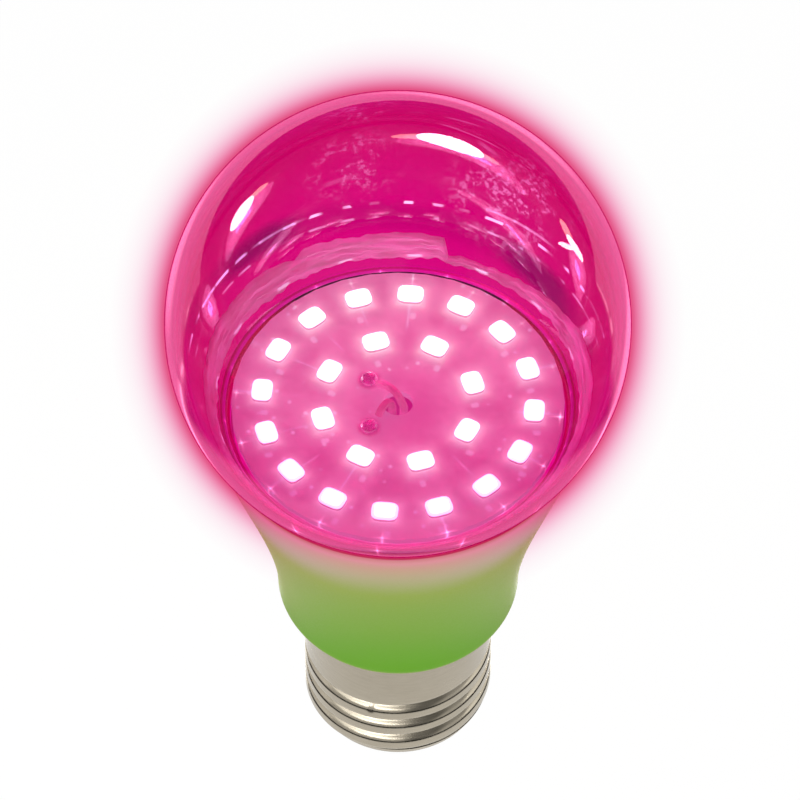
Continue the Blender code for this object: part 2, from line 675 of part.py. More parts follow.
def make_driver():
    """The board, two stacks of components on its rear face above the neck's floor, and the
    small packages on its front face."""
    make_driver_board()
    stack_z = NECK_FLOOR_Z + SEAT
    make_capacitor("input_capacitor", INPUT_CAPACITOR_LENGTH, LEFT_COLUMN, stack_z)
    film_z = stack_z + INPUT_CAPACITOR_LENGTH + ROW_GAP + FILM_CAPACITOR_SIZE[2] / 2
    on_board("film_capacitor", FILM_CAPACITOR_SIZE, "film_capacitor", 1, LEFT_COLUMN, film_z)
    make_inductor(RIGHT_COLUMN, stack_z + CORE_RADIUS)
    output_z = stack_z + 2 * CORE_RADIUS + ROW_GAP
    make_capacitor("output_capacitor", OUTPUT_CAPACITOR_LENGTH, RIGHT_COLUMN, output_z)
    bridge_z = DRIVER_BOARD_Z + BRIDGE_RISE
    chip_z = stack_z + CHIP_RISE
    resistor_z = stack_z + RESISTOR_RISE
    on_board("bridge_rectifier", BRIDGE_SIZE, "chip_black", -1, 0.0, bridge_z)
    on_board("driver_chip", CHIP_SIZE, "chip_black", -1, -CHIP_COLUMN, chip_z)
    on_board("freewheel_diode", DIODE_SIZE, "chip_black", -1, CHIP_COLUMN, chip_z)
    on_board("sense_resistor", CHIP_RESISTOR_SIZE, "chip_black", -1, -CHIP_COLUMN, resistor_z)
    on_board("bleed_resistor", CHIP_RESISTOR_SIZE, "chip_black", -1, CHIP_COLUMN, resistor_z)


contact_stem_top = make_contact()
make_insulator()
make_shell()
make_housing()
make_heat_sink()
make_globe()
make_adhesive()
make_led_board()
make_leds()
make_board_leads()
make_driver()
make_fuse(contact_stem_top)
make_neutral_wire()
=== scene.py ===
# %% [markdown]
# # A lit grow bulb
#
# The object is a screw-cap lamp: a clear pink globe over a round board of lit packages, a green
# flared neck and a nickel cap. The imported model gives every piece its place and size. This lesson
# dresses it: each visible piece is a fine surface worked out with numpy, and each finish is built
# from shader nodes.

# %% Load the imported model
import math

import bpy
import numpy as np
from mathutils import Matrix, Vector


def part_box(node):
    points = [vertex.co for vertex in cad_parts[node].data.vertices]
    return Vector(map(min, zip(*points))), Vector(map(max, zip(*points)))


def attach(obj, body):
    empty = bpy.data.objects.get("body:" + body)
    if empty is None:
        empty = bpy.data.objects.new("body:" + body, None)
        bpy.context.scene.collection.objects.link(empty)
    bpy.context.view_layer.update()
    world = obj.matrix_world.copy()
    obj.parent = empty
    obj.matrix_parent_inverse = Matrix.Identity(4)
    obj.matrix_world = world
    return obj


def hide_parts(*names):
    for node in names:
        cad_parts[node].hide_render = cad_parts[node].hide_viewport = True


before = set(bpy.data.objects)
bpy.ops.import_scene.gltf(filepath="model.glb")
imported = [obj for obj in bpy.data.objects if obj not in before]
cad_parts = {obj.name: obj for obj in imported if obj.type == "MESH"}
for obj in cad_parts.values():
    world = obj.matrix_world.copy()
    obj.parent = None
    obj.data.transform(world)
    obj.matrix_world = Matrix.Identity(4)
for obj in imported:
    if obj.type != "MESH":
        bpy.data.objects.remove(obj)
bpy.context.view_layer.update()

# %% [markdown]
# ## Sizes
#
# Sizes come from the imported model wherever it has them, so that every surface drawn here stays in
# the place of the solid that it stands for. The globe is a ball, so the corners of its box give
# its radius, and its top gives the height of its middle.

MM = 0.001
globe_low, globe_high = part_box("globe")
GLOBE_RADIUS = (globe_high.x - globe_low.x) / 2
GLOBE_Z = globe_high.z - GLOBE_RADIUS
print("globe radius and centre height, mm:", round(GLOBE_RADIUS / MM, 2), round(GLOBE_Z / MM, 2))

# %% [markdown]
# ## The camera
#
# The photograph looks down on the upright bulb by 52.5 degrees, from far enough away that the
# globe's outline stays a circle. The camera is aimed along that line and slid a little sideways
# and down, because the globe sits above the middle of the picture. A matrix with the camera's own
# right, up and back directions says this without any turning order to get wrong.

# %% Camera
CAMERA_ELEVATION = math.radians(52.5)
CAMERA_DISTANCE = 620 * MM
CAMERA_SLIDE = (0.27 * MM, -9.75 * MM)

right = np.array([1.0, 0.0, 0.0])
up = np.array([0.0, math.sin(CAMERA_ELEVATION), math.cos(CAMERA_ELEVATION)])
back = np.array([0.0, -math.cos(CAMERA_ELEVATION), math.sin(CAMERA_ELEVATION)])
eye = np.array([0.0, 0.0, GLOBE_Z]) + CAMERA_DISTANCE * back
eye = eye + CAMERA_SLIDE[0] * right + CAMERA_SLIDE[1] * up

camera = bpy.data.objects.new("camera", bpy.data.cameras.new("camera"))
bpy.context.scene.collection.objects.link(camera)
placing = np.eye(4)
placing[:3, 0], placing[:3, 1], placing[:3, 2], placing[:3, 3] = right, up, back, eye
camera.matrix_world = Matrix(placing.tolist())
camera.data.lens = 217.36
camera.data.sensor_width = 36.0
camera.data.clip_start = 0.01
camera.data.clip_end = 20.0
bpy.context.scene.camera = camera
bpy.context.scene.view_settings.view_transform = "Standard"
print("camera at, mm:", np.round(eye / MM, 1))

# %% [markdown]
# ## Surfaces from arrays
#
# Nearly every piece of a bulb is turned: a profile swept round the axis. A profile is a short list
# of radii and heights that runs down the outside and back up the inside, so its faces point out.
# Two helpers turn such arrays into meshes: one lays quads over a grid of points, the other sweeps
# a profile and closes it at the axis.


# %% Mesh helpers
def grid_quads(rows, columns, closed):
    """Quads between neighbouring rows of a grid. Columns join round, and rows do too if closed."""
    i = np.arange(rows if closed else rows - 1)[:, None]
    j = np.arange(columns)[None, :]
    here, below, beside = i * columns, ((i + 1) % rows) * columns, (j + 1) % columns
    return np.stack([here + j, below + j, below + beside, here + beside], axis=2).reshape(-1, 4)


def add_piece(name, points, faces, finish, stands_for=(), crease=35.0):
    """One finished piece at the origin: its mesh, finish, body, slot and the nodes it stands for."""
    data = bpy.data.meshes.new(name)
    data.from_pydata(np.asarray(points).reshape(-1, 3), [], faces)
    data.shade_smooth()
    data.set_sharp_from_angle(angle=math.radians(crease))
    piece = bpy.data.objects.new(name, data)
    bpy.context.scene.collection.objects.link(piece)
    data.materials.append(finish)
    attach(piece, "root")
    if stands_for:
        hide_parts(*stands_for)
    return piece


def turned(profile, turns, centre=(0.0, 0.0)):
    """Points and faces of a turned piece. Row i, column j lies at radius r_i, angle 2 pi j / turns
    and height z_i. A profile that starts or ends on the axis is closed there with a fan."""
    profile = np.asarray(profile, dtype=float)
    start_pole, end_pole = profile[0, 0] == 0, profile[-1, 0] == 0
    rings = profile[1 if start_pole else 0 : -1 if end_pole else None]
    angle = np.linspace(0, 2 * np.pi, turns, endpoint=False)
    radius, height = rings[:, 0:1], rings[:, 1:2] + 0 * angle
    points = np.stack([radius * np.cos(angle), radius * np.sin(angle), height], axis=2)
    points = points.reshape(-1, 3)
    faces = grid_quads(len(rings), turns, closed=not start_pole).tolist()
    j = np.arange(turns)
    if start_pole:
        pole = len(points)
        points = np.vstack([points, (0, 0, profile[0, 1])])
        faces += np.stack([np.full(turns, pole), j, (j + 1) % turns], axis=1).tolist()
    if end_pole:
        last = (len(rings) - 1) * turns
        pole = len(points)
        points = np.vstack([points, (0, 0, profile[-1, 1])])
        faces += np.stack([last + j, np.full(turns, pole), last + (j + 1) % turns], axis=1).tolist()
    return points + (*centre, 0.0), faces


def arc(centre_r, centre_z, radius, start, end, count):
    """Points of a circle's arc in the (radius, height) plane, angles in degrees from +r."""
    angle = np.radians(np.linspace(start, end, count))
    return np.column_stack([centre_r + radius * np.cos(angle), centre_z + radius * np.sin(angle)])


def stretch(first, last, count):
    """Evenly spaced profile points between two corners, the last one left out."""
    return np.linspace(first, last, count, endpoint=False)

# %% [markdown]
# ## Shader helpers
#
# A finish is a small net of nodes. A few helpers keep the nets short: one adds a node and fills
# its inputs, where an input may be a number, a colour or another node's output, and the others do
# sums on numbers, places and colours.


# %% Shader helpers
def add_node(tree, kind, inputs=(), **settings):
    """A new shader node with its settings and inputs. An input is a value, or an output to link."""
    made = tree.nodes.new("ShaderNode" + kind)
    for key, value in settings.items():
        setattr(made, key, value)
    for key, value in dict(inputs).items():
        if isinstance(value, bpy.types.NodeSocket):
            tree.links.new(value, made.inputs[key])
        else:
            made.inputs[key].default_value = value
    return made


def sums(tree, operation, *values):
    """The output of a Math node on one, two or three values."""
    return add_node(tree, "Math", dict(enumerate(values)), operation=operation).outputs[0]


def vector_sums(tree, operation, *values, out=0):
    """The output of a Vector Math node."""
    made = add_node(tree, "VectorMath", dict(enumerate(values)), operation=operation)
    return made.outputs[out]


def times(tree, first, *values):
    """The product of two or more values."""
    for value in values:
        first = sums(tree, "MULTIPLY", first, value)
    return first


def length(tree, vector):
    """The length of a vector."""
    return vector_sums(tree, "LENGTH", vector, out=1)


def distance(tree, place, middle):
    """How far a place lies from a point."""
    return length(tree, vector_sums(tree, "SUBTRACT", place, middle))


def split(tree, vector):
    """The x, y and z outputs of a vector."""
    return add_node(tree, "SeparateXYZ", {0: vector}).outputs


def scaled(tree, tint, share):
    """A colour times a share that changes over the surface."""
    made = add_node(tree, "VectorMath", {0: tint, "Scale": share}, operation="SCALE")
    return made.outputs[0]


def lit(tree, light, tint, share):
    """Light with more of a tint added, by a share that changes over the surface."""
    return vector_sums(tree, "ADD", light, scaled(tree, tint, share))


def blend(tree, share, first, second, mode="MIX"):
    """The colour between first and second, by share."""
    made = add_node(tree, "Mix", data_type="RGBA", blend_type=mode)
    for place, value in ((0, share), (6, first), (7, second)):
        if isinstance(value, bpy.types.NodeSocket):
            tree.links.new(value, made.inputs[place])
        else:
            made.inputs[place].default_value = value
    return made.outputs[2]

# %% [markdown]
# ## Fades, noise and finishes
#
# Nearly every mark on the bulb is a fade: something is 1 here, 0 there, and smooth between. Noise
# breaks it up, as dust and wear do. A finish then feeds such values to the Principled shader.


# %% Fades, noise and finishes
def ramp(tree, value, low, high, to_low=0.0, to_high=1.0, smooth=True):
    """value's place between low and high, as a number between to_low and to_high."""
    made = add_node(tree, "MapRange", {0: value, 1: low, 2: high, 3: to_low, 4: to_high},
                    interpolation_type="SMOOTHSTEP" if smooth else "LINEAR")
    return made.outputs[0]


def between(tree, value, low, rise, fall, high):
    """1 where value lies between rise and fall, fading to 0 at low and at high."""
    return times(tree, ramp(tree, value, low, rise), ramp(tree, value, high, fall))


def noise(tree, vector, scale, detail=3.0, roughness=0.5, distortion=0.0):
    """A noise texture's value, scale in features per metre."""
    inputs = {"Vector": vector, "Scale": scale, "Detail": detail}
    inputs.update({"Roughness": roughness, "Distortion": distortion})
    return add_node(tree, "TexNoise", inputs).outputs[0]


def new_finish(name, lights_up=False):
    """A material with its Principled shader, and the object coordinates that its patterns use. Only
    a finish that lights up its surroundings is sampled as a lamp, which saves render time."""
    made = bpy.data.materials.new(name)
    made.use_nodes = True
    made.cycles.emission_sampling = "AUTO" if lights_up else "NONE"
    tree = made.node_tree
    shader = tree.nodes["Principled BSDF"]
    place = tree.nodes.new("ShaderNodeTexCoord").outputs["Object"]
    return made, tree, shader, place


def add_relief(tree, shader, height, strength, depth):
    """Fine relief: a height bends the way the surface faces."""
    bump = add_node(tree, "Bump", {"Height": height, "Strength": strength, "Distance": depth})
    feed(tree, shader, Normal=bump.outputs[0])


def feed(tree, shader, **values):
    """Plain values or links for the shader's own sockets, named with _ for each space."""
    for key, value in values.items():
        socket = shader.inputs[key.replace("_", " ")]
        if isinstance(value, bpy.types.NodeSocket):
            tree.links.new(value, socket)
        else:
            socket.default_value = value

# %% [markdown]
# ## Shared effects
#
# Some marks turn up on several materials, so each is a node group: a mottle of fine and coarse noise for
# moulded plastic and metal, scattered specks for dust that is painted as glowing, and the fold that repeats a
# pattern round a ring. A group is a net with its own inputs and outputs, so two helpers make an empty one and
# place it in a material.


# %% Group helpers
def new_group(name, inputs, outputs):
    """An empty shader group with float or vector sockets, and its two end nodes."""
    made = bpy.data.node_groups.new(name, "ShaderNodeTree")
    for way, sockets in (("INPUT", inputs), ("OUTPUT", outputs)):
        for socket, value in sockets:
            kind = "NodeSocketVector" if value == "vector" else "NodeSocketFloat"
            new = made.interface.new_socket(name=socket, in_out=way, socket_type=kind)
            if isinstance(value, float):
                new.default_value = value
    start = made.nodes.new("NodeGroupInput").outputs
    end = made.nodes.new("NodeGroupOutput").inputs
    return made, start, end


def use_group(tree, group, **inputs):
    """The group placed in a material with its own values. Gives its outputs."""
    made = add_node(tree, "Group", node_tree=group)
    for key, value in inputs.items():
        if isinstance(value, bpy.types.NodeSocket):
            tree.links.new(value, made.inputs[key])
        else:
            made.inputs[key].default_value = value
    return made.outputs

# %% [markdown]
# ## The three effects
#
# Each is built once and placed in many materials with its own values. The ring fold is the useful
# one: it turns the angle round the axis into a place beside the nearest of many equal parts, so
# one small drawing is repeated round a ring at no cost.


# %% The three effects
def make_mottle():
    """Coarse noise for drifts of tone, and fine noise for grain, each from 0 to 1."""
    group, start, end = new_group(
        "mottle",
        [("Place", "vector"), ("Coarse", 60.0), ("Fine", 1500.0)],
        [("Drift", 0.5), ("Grain", 0.5)],
    )
    drift = noise(group, start["Place"], start["Coarse"], detail=4.0, roughness=0.55)
    grain = noise(group, start["Place"], start["Fine"], detail=2.0, roughness=0.6)
    group.links.new(ramp(group, drift, 0.3, 0.7), end["Drift"])
    group.links.new(grain, end["Grain"])
    return group


def make_specks():
    """Small round specks in drifting patches: cells whose centre is near, kept where a coarse
    noise is high."""
    group, start, end = new_group(
        "specks",
        [("Place", "vector"), ("Scale", 900.0), ("Reach", 0.25), ("Patch", 45.0), ("Cover", 0.5)],
        [("Mask", 0.0)],
    )
    cells = add_node(group, "TexVoronoi", {"Vector": start["Place"], "Scale": start["Scale"]})
    near = sums(group, "SUBTRACT", 1.0, sums(group, "DIVIDE", cells.outputs["Distance"], start["Reach"]))
    near = sums(group, "MAXIMUM", near, 0.0)
    patch = noise(group, start["Place"], start["Patch"], detail=3.0)
    kept = sums(group, "GREATER_THAN", patch, start["Cover"])
    group.links.new(sums(group, "MULTIPLY", near, kept), end["Mask"])
    return group


def make_ring_fold():
    """Distance from a point to the nearest of a ring of rounded blocks: the angle is wrapped to
    one block's sector, which gives a place along and across that block, and what is past its
    half sides is measured."""
    group, start, end = new_group(
        "ring_fold",
        [("Place", "vector"), ("Count", 16.0), ("First", 0.0), ("Radius", 18.0 * MM),
         ("Half Along", 1.7 * MM), ("Half Across", 1.4 * MM)],
        [("Distance", 0.0), ("Along", 0.0), ("Across", 0.0)],
    )
    parts = split(group, start["Place"])
    flat = add_node(group, "CombineXYZ", {0: parts[0], 1: parts[1]}).outputs[0]
    reach = length(group, flat)
    turn = sums(group, "SUBTRACT", sums(group, "ARCTAN2", parts[1], parts[0]), start["First"])
    half = sums(group, "DIVIDE", math.pi, start["Count"])
    folded = sums(group, "WRAP", turn, half, sums(group, "MULTIPLY", half, -1.0))
    along = sums(group, "MULTIPLY", reach, sums(group, "SINE", folded))
    outwards = sums(group, "MULTIPLY", reach, sums(group, "COSINE", folded))
    across = sums(group, "SUBTRACT", outwards, start["Radius"])
    past = []
    for side, size in ((along, "Half Along"), (across, "Half Across")):
        over = sums(group, "SUBTRACT", sums(group, "ABSOLUTE", side), start[size])
        past.append(sums(group, "MAXIMUM", over, 0.0))
    beyond = add_node(group, "CombineXYZ", {0: past[0], 1: past[1]}).outputs[0]
    group.links.new(length(group, beyond), end["Distance"])
    group.links.new(along, end["Along"])
    group.links.new(across, end["Across"])
    return group


MOTTLE, SPECKS, RING_FOLD = make_mottle(), make_specks(), make_ring_fold()
print("shader groups:", [group.name for group in bpy.data.node_groups])

# %% [markdown]
# ## The studio
#
# The photograph has a plain white ground. A pale floor, two metres across, lies below the bulb.
# The camera and the glass see it as white, while it still takes part of its tone from the lamps,
# so the bulb's soft shadow stays on it. The globe mirrors the floor all round its rim, and that
# reflection is dim near the bulb, which keeps the pink deep, and pale past an edge behind it,
# which draws the pale crescent along the rim. A few pools of light break it up.

# %% Floor
FLOOR_Z = -150 * MM
FLOOR_RADIUS = 1.02
# Pale pools on the floor, which only mirrors show: middle, reach and gain, in metres.
POOLS = [((0.14, 0.17), 0.07, 1.5), ((-0.07, 0.172), 0.035, 1.5),
         ((-0.17, 0.26), 0.10, 1.3), ((0.10, 0.45), 0.15, 1.2)]


def stage_piece(name, points, faces, finish):
    """A piece of the studio, which belongs to no body of the bulb."""
    data = bpy.data.meshes.new(name)
    data.from_pydata(points, [], faces)
    data.materials.append(finish)
    piece = bpy.data.objects.new(name, data)
    bpy.context.scene.collection.objects.link(piece)


def mirrored_floor(tree, place):
    """How bright the floor looks in a mirror: dim round the bulb, pale under it and past an edge
    behind it. An uneven bright line, exp(-|y - edge| / 6 mm), runs along that edge, and each pool
    fades with the distance from its middle."""
    across, away = split(tree, place)[:2]
    outward = sums(tree, "MAXIMUM", sums(tree, "SUBTRACT", sums(tree, "ABSOLUTE", across), 0.28), 0.0)
    past_edge = sums(tree, "MULTIPLY_ADD", outward, -0.5, away)
    near = ramp(tree, length(tree, vector_sums(tree, "MULTIPLY", place, (1, 1, 0))), 0.20, 0.15, 0.0, 0.75)
    kept = sums(tree, "MAXIMUM", near, ramp(tree, past_edge, 0.09, 0.145))
    level = ramp(tree, kept, 0.0, 1.0, 0.01, 1.22, smooth=False)
    off_line = sums(tree, "ABSOLUTE", sums(tree, "SUBTRACT", past_edge, 0.118))
    line = sums(tree, "EXPONENT", sums(tree, "DIVIDE", off_line, -0.006))
    broken = ramp(tree, noise(tree, place, 9.0, detail=1.0), 0.42, 0.60, 0.3, 4.5)
    level = sums(tree, "MULTIPLY_ADD", line, broken, level)
    for spot, size, gain in POOLS:
        reach = distance(tree, place, (*spot, FLOOR_Z))
        level = sums(tree, "ADD", level, ramp(tree, reach, size, 0.4 * size, 0.0, gain))
    return level


def make_floor():
    """White to the camera and through the glass, with a share of its own shade for the shadow."""
    finish, tree, shader, place = new_finish("studio_floor")
    grain = use_group(tree, MOTTLE, Place=place, Coarse=3.0, Fine=400.0)
    tone = blend(tree, grain["Drift"], (0.86, 0.86, 0.86, 1), (0.90, 0.90, 0.90, 1))
    feed(tree, shader, Base_Color=tone, Roughness=0.9)
    path = tree.nodes.new("ShaderNodeLightPath").outputs
    direct = sums(tree, "MAXIMUM", path["Is Camera Ray"], path["Is Transmission Ray"])
    level = ramp(tree, direct, 0.0, 1.0, mirrored_floor(tree, place), 1.05, smooth=False)
    white = add_node(tree, "Emission", {"Color": (1, 1, 1, 1), "Strength": level}).outputs[0]
    share = sums(tree, "MAXIMUM", times(tree, direct, 0.86), path["Is Glossy Ray"])
    mixed = add_node(tree, "MixShader", {0: share, 1: shader.outputs[0], 2: white})
    tree.links.new(mixed.outputs[0], tree.nodes["Material Output"].inputs["Surface"])
    deep = FLOOR_Z - 5 * MM
    disc = [(0.0, FLOOR_Z), (FLOOR_RADIUS, FLOOR_Z), (FLOOR_RADIUS, deep), (0.0, deep)]
    stage_piece("studio_floor", *turned(disc, 128), finish)


make_floor()
print("floor radius, m:", FLOOR_RADIUS)

# %% [markdown]
# ## The room
#
# A world shader can look different to each kind of ray. The camera and the glass see pure white.
# Soft light on rough surfaces comes at an even, plain level. Mirrors see a calm room, pale in
# front and dim behind, with a darker stretch to the right of the middle.


# %% Room
def make_room():
    """Mirrors see 0.01 behind and 0.62 in front, rough surfaces 0.58, the camera 1."""
    room = bpy.context.scene.world or bpy.data.worlds.new("room")
    bpy.context.scene.world = room
    room.use_nodes = True
    tree = room.node_tree
    tree.nodes.clear()
    path = tree.nodes.new("ShaderNodeLightPath").outputs
    white = sums(tree, "MAXIMUM", path["Is Camera Ray"], path["Is Transmission Ray"])
    across, away = split(tree, tree.nodes.new("ShaderNodeTexCoord").outputs["Generated"])[:2]
    gap = between(tree, across, 0.02, 0.12, 0.50, 0.62)
    front = times(tree, ramp(tree, away, 0.25, -0.55), ramp(tree, gap, 0.0, 1.0, 1.0, 0.25, smooth=False))
    dim = ramp(tree, front, 0.0, 1.0, 0.01, 0.62, smooth=False)
    shades = []
    for tint, strength in (((1, 1, 1, 1), dim), ((1, 0.99, 0.98, 1), 0.58), ((1, 1, 1, 1), 1.0)):
        shade = add_node(tree, "Background", {"Color": tint, "Strength": strength})
        shades.append(shade.outputs[0])
    soft = add_node(tree, "MixShader", {0: path["Is Glossy Ray"], 1: shades[1], 2: shades[0]})
    mixed = add_node(tree, "MixShader", {0: white, 1: soft.outputs[0], 2: shades[2]})
    tree.links.new(mixed.outputs[0], add_node(tree, "OutputWorld").inputs["Surface"])


make_room()
print("world nodes:", len(bpy.context.scene.world.node_tree.nodes))

# %% [markdown]
# ## Lamps
#
# Two softboxes light rough surfaces and stay out of mirrors. The bright streaks on the globe are
# soft lamps too, seen only in mirrors: each is an ellipse of the streak's size, turned as the
# streak is, at the azimuth and height that a ball mirrors to that place. A warm lamp a little
# further out and wider gives each streak its orange tips.


# %% Lamps
def add_lamp(name, azimuth, elevation, distance, size, watts, glossy, roll=0.0):
    """A soft rectangular lamp aimed at the globe's middle. Azimuth 0 is behind the bulb and 90 to
    its right, and elevation is above the horizon, in degrees."""
    a, e = math.radians(azimuth), math.radians(elevation)
    away = np.array([math.sin(a) * math.cos(e), math.cos(a) * math.cos(e), math.sin(e)])
    side = np.cross((0.0, 0.0, 1.0), away)
    side /= np.linalg.norm(side)
    top = np.cross(away, side)
    c, s = math.cos(math.radians(roll)), math.sin(math.radians(roll))
    side, top = c * side + s * top, c * top - s * side
    data = bpy.data.lights.new(name, "AREA")
    data.shape = "ELLIPSE" if glossy else "RECTANGLE"
    data.size, data.size_y = size
    data.energy = watts
    lamp = bpy.data.objects.new(name, data)
    bpy.context.scene.collection.objects.link(lamp)
    matrix = np.eye(4)
    matrix[:3, 0], matrix[:3, 1], matrix[:3, 2] = side, top, away
    matrix[:3, 3] = np.array([0, 0, GLOBE_Z]) + distance * away
    lamp.matrix_world = Matrix(matrix.tolist())
    lamp.visible_camera = False
    lamp.visible_transmission = False
    lamp.visible_glossy = glossy
    lamp.visible_diffuse = not glossy
    return lamp


add_lamp("key_softbox", -140, 50, 0.9, (0.8, 0.8), 3.0, False)
add_lamp("fill_softbox", 130, 30, 0.9, (0.9, 0.9), 1.5, False)
for name, azimuth, elevation, size, watts, roll in (
    ("strip_far", 17.3, 22.9, (0.37, 0.17), 5.6, 9),
    ("strip_left", -52, 6.9, (0.21, 0.13), 2.0, -20),
    ("strip_right", 61.1, -0.2, (0.17, 0.07), 0.8, 61),
    ("branch_right", 63.3, 5.8, (0.17, 0.035), 0.4, -78),
):
    add_lamp(name, azimuth, elevation, 1.0, size, watts, True, roll=roll)
for name, azimuth, elevation, size, watts, roll in (
    ("warm_far", 15.9, 23.1, (0.62, 0.09), 1.5, 12),
    ("warm_left", -45.5, 9.5, (0.17, 0.06), 0.3, -42),
    ("warm_right", 57.2, 3.0, (0.15, 0.08), 0.4, 25),
):
    add_lamp(name, azimuth, elevation, 1.02, size, watts, True, roll=roll).data.color = (1.0, 0.62, 0.40)
print("lamps:", len(bpy.data.lights))

# %% [markdown]
# ## Rings of light
#
# The packages stand in two rings, sixteen outside and eight inside. Many marks follow them: the
# glow on the board, and the small glints that their light draws on edges nearby. Each ring is
# kept as the inputs of the ring fold, and one helper draws a row of glints from it.


# %% Rings of packages
OUTER_RING = {"Count": 16.0, "First": math.radians(17.1), "Radius": 18.08 * MM}
INNER_RING = {"Count": 8.0, "First": math.radians(16.7), "Radius": 10.306 * MM}


def ring_distances(tree, place):
    """Outputs of the ring fold for the outer and the inner ring."""
    return [use_group(tree, RING_FOLD, Place=place, **ring) for ring in (OUTER_RING, INNER_RING)]


def ring_glints(tree, place, first, radius):
    """Four-pointed glints round a ring, each two crossed spindles exp(-(|a| / long + |b| / short)),
    some brighter than others."""
    ring = use_group(tree, RING_FOLD, Place=place, **{**OUTER_RING, "First": first, "Radius": radius})
    sides = [sums(tree, "ABSOLUTE", ring[way]) for way in ("Along", "Across")]
    spindles = []
    for sizes in ((0.50 * MM, 0.10 * MM), (0.10 * MM, 0.50 * MM)):
        spread = sums(tree, "ADD", *(sums(tree, "DIVIDE", side, -size) for side, size in zip(sides, sizes)))
        spindles.append(sums(tree, "EXPONENT", spread))
    uneven = ramp(tree, noise(tree, place, 70.0), 0.38, 0.62, 0.45, 1.2)
    return times(tree, sums(tree, "ADD", *spindles), uneven)

# %% [markdown]
# ## Marks on the globe
#
# The real globe is blown from clear plastic dyed pink. Its inner wall carries what the photograph shows on
# it, all as painted light: dust in patches that glows, thin streaks that are painted reflections, and rows of
# dashes that are painted reflections of the packages. Each mark is a place on the wall in millimetres from
# the globe's middle, so it stays there from every side.

# %% Marks on the globe
# Glowing dust, painted light: middle, size and gain. Streak reflections, painted: level at the left end,
# slope, half width, left and right end, gain. Dash reflections, painted: level, half width, gain.
DUST_GLOW = [((14.0, 24.5, -4.5), 10.0, 0.42), ((-6.0, 28.0, -0.5), 9.0, 0.24),
        ((19.0, 21.0, 2.0), 9.0, 0.26), ((-4.0, 24.5, 14.8), 8.0, 0.40)]
STREAK_REFLECTIONS = [(14.0, 0.05, 0.5, 9.3, 13.6, 0.45), (11.3, -0.05, 0.25, 5.8, 12.0, 0.8),
           (8.7, -0.31, 0.25, 5.2, 14.5, 0.7), (6.2, -0.74, 0.8, 10.2, 14.2, 0.5),
           (-4.2, 0.14, 0.6, -10.6, -4.6, 0.22), (-7.2, 0.0, 0.30, 11.0, 21.5, 1.0),
           (-8.45, 0.0, 0.25, -20.0, -12.0, 0.8)]
DASH_REFLECTIONS = [(-8.5, 0.29, 3.2), (-10.5, 0.22, 1.2)]
FAR_ROW = {"Count": 42.0, "First": math.radians(87.5), "Radius": 0.0}


def dust_glow(tree, local):
    """The painted glow of dust: round patches, 0 at their size and full within 0.3 of it, broken by a coarse
    noise into islands and by a fine one into grit."""
    film = 0.0
    # Each dust patch adds painted glow.
    for spot, size, gain in DUST_GLOW:
        reach = distance(tree, local, [MM * part for part in spot])
        film = sums(tree, "ADD", film, ramp(tree, reach, size * MM, 0.3 * size * MM, 0.0, gain))
    islands = ramp(tree, noise(tree, local, 300.0, detail=3.0, roughness=0.6), 0.46, 0.56)
    grit = ramp(tree, noise(tree, local, 1300.0, detail=2.0, roughness=0.7), 0.50, 0.60, 0.12, 2.0)
    return times(tree, film, islands, grit)


def painted_streaks(tree, film, across, height):
    """Painted light with the painted streak reflections added: each follows height = level + slope x (across
    - left).
    """
    # Each streak is a painted reflection, drawn as emission.
    for level, slope, half, left, right, gain in STREAK_REFLECTIONS:
        line = sums(tree, "MULTIPLY_ADD", across, slope, (level - slope * left) * MM)
        off = sums(tree, "ABSOLUTE", sums(tree, "SUBTRACT", height, line))
        ends = between(tree, across, left * MM, (left + 1.5) * MM, (right - 2.5) * MM, right * MM)
        stripe = times(tree, ramp(tree, off, half * MM, 0.3 * half * MM, 0.0, gain), ends)
        film = sums(tree, "ADD", film, stripe)
    return film


def painted_dashes(tree, film, local, across, height):
    """Painted light with the rows of dashes added, painted reflections of the packages. The angle is folded
    into 42 parts, and a dash stands in most of them, longer towards the sides."""
    row = use_group(tree, RING_FOLD, Place=local, **FAR_ROW)
    uneven = ramp(tree, noise(tree, local, 330.0, detail=1.0), 0.35, 0.65, 0.4, 1.5)
    sideways = sums(tree, "ABSOLUTE", across)
    longest = times(tree, ramp(tree, sideways, 3 * MM, 18 * MM, 0.55 * MM, 1.3 * MM), uneven)
    past_end = sums(tree, "SUBTRACT", sums(tree, "ABSOLUTE", row["Along"]), longest)
    short = ramp(tree, past_end, 0.2 * MM, -0.2 * MM)
    some = ramp(tree, noise(tree, local, 210.0, detail=1.0), 0.40, 0.58, 0.10, 1.0)
    # Each row of dashes is a painted reflection of the packages.
    for level, half, gain in DASH_REFLECTIONS:
        off = sums(tree, "ABSOLUTE", sums(tree, "SUBTRACT", height, level * MM))
        dash = times(tree, ramp(tree, off, half * MM, 0.4 * half * MM, 0.0, gain), short, some)
        film = sums(tree, "ADD", film, dash)
    return film


print("patches, stripes and rows:", len(DUST_GLOW), len(STREAK_REFLECTIONS), len(DASH_REFLECTIONS))

# %% [markdown]
# ## The dyed plastic
#
# The dye sits in the wall's depth, so it is a volume that takes light, and a slanting ray is dyed more. That
# makes the deep sides of a real globe without painting them; its bright edge is partly a painted glow. The
# surface adds painted light: the glow of dust and the painted reflections on the far wall, painted glints low
# in front, and a painted glow along the wall where it is seen at a slant. At the very edge clear glass would
# show only dark lines, so it gives way there to a thin painted outline.

# %% Globe finish
GLOBE_WALL = 1.0 * MM
DYE_PER_WALL = np.array([0.855, 0.041, 0.525])


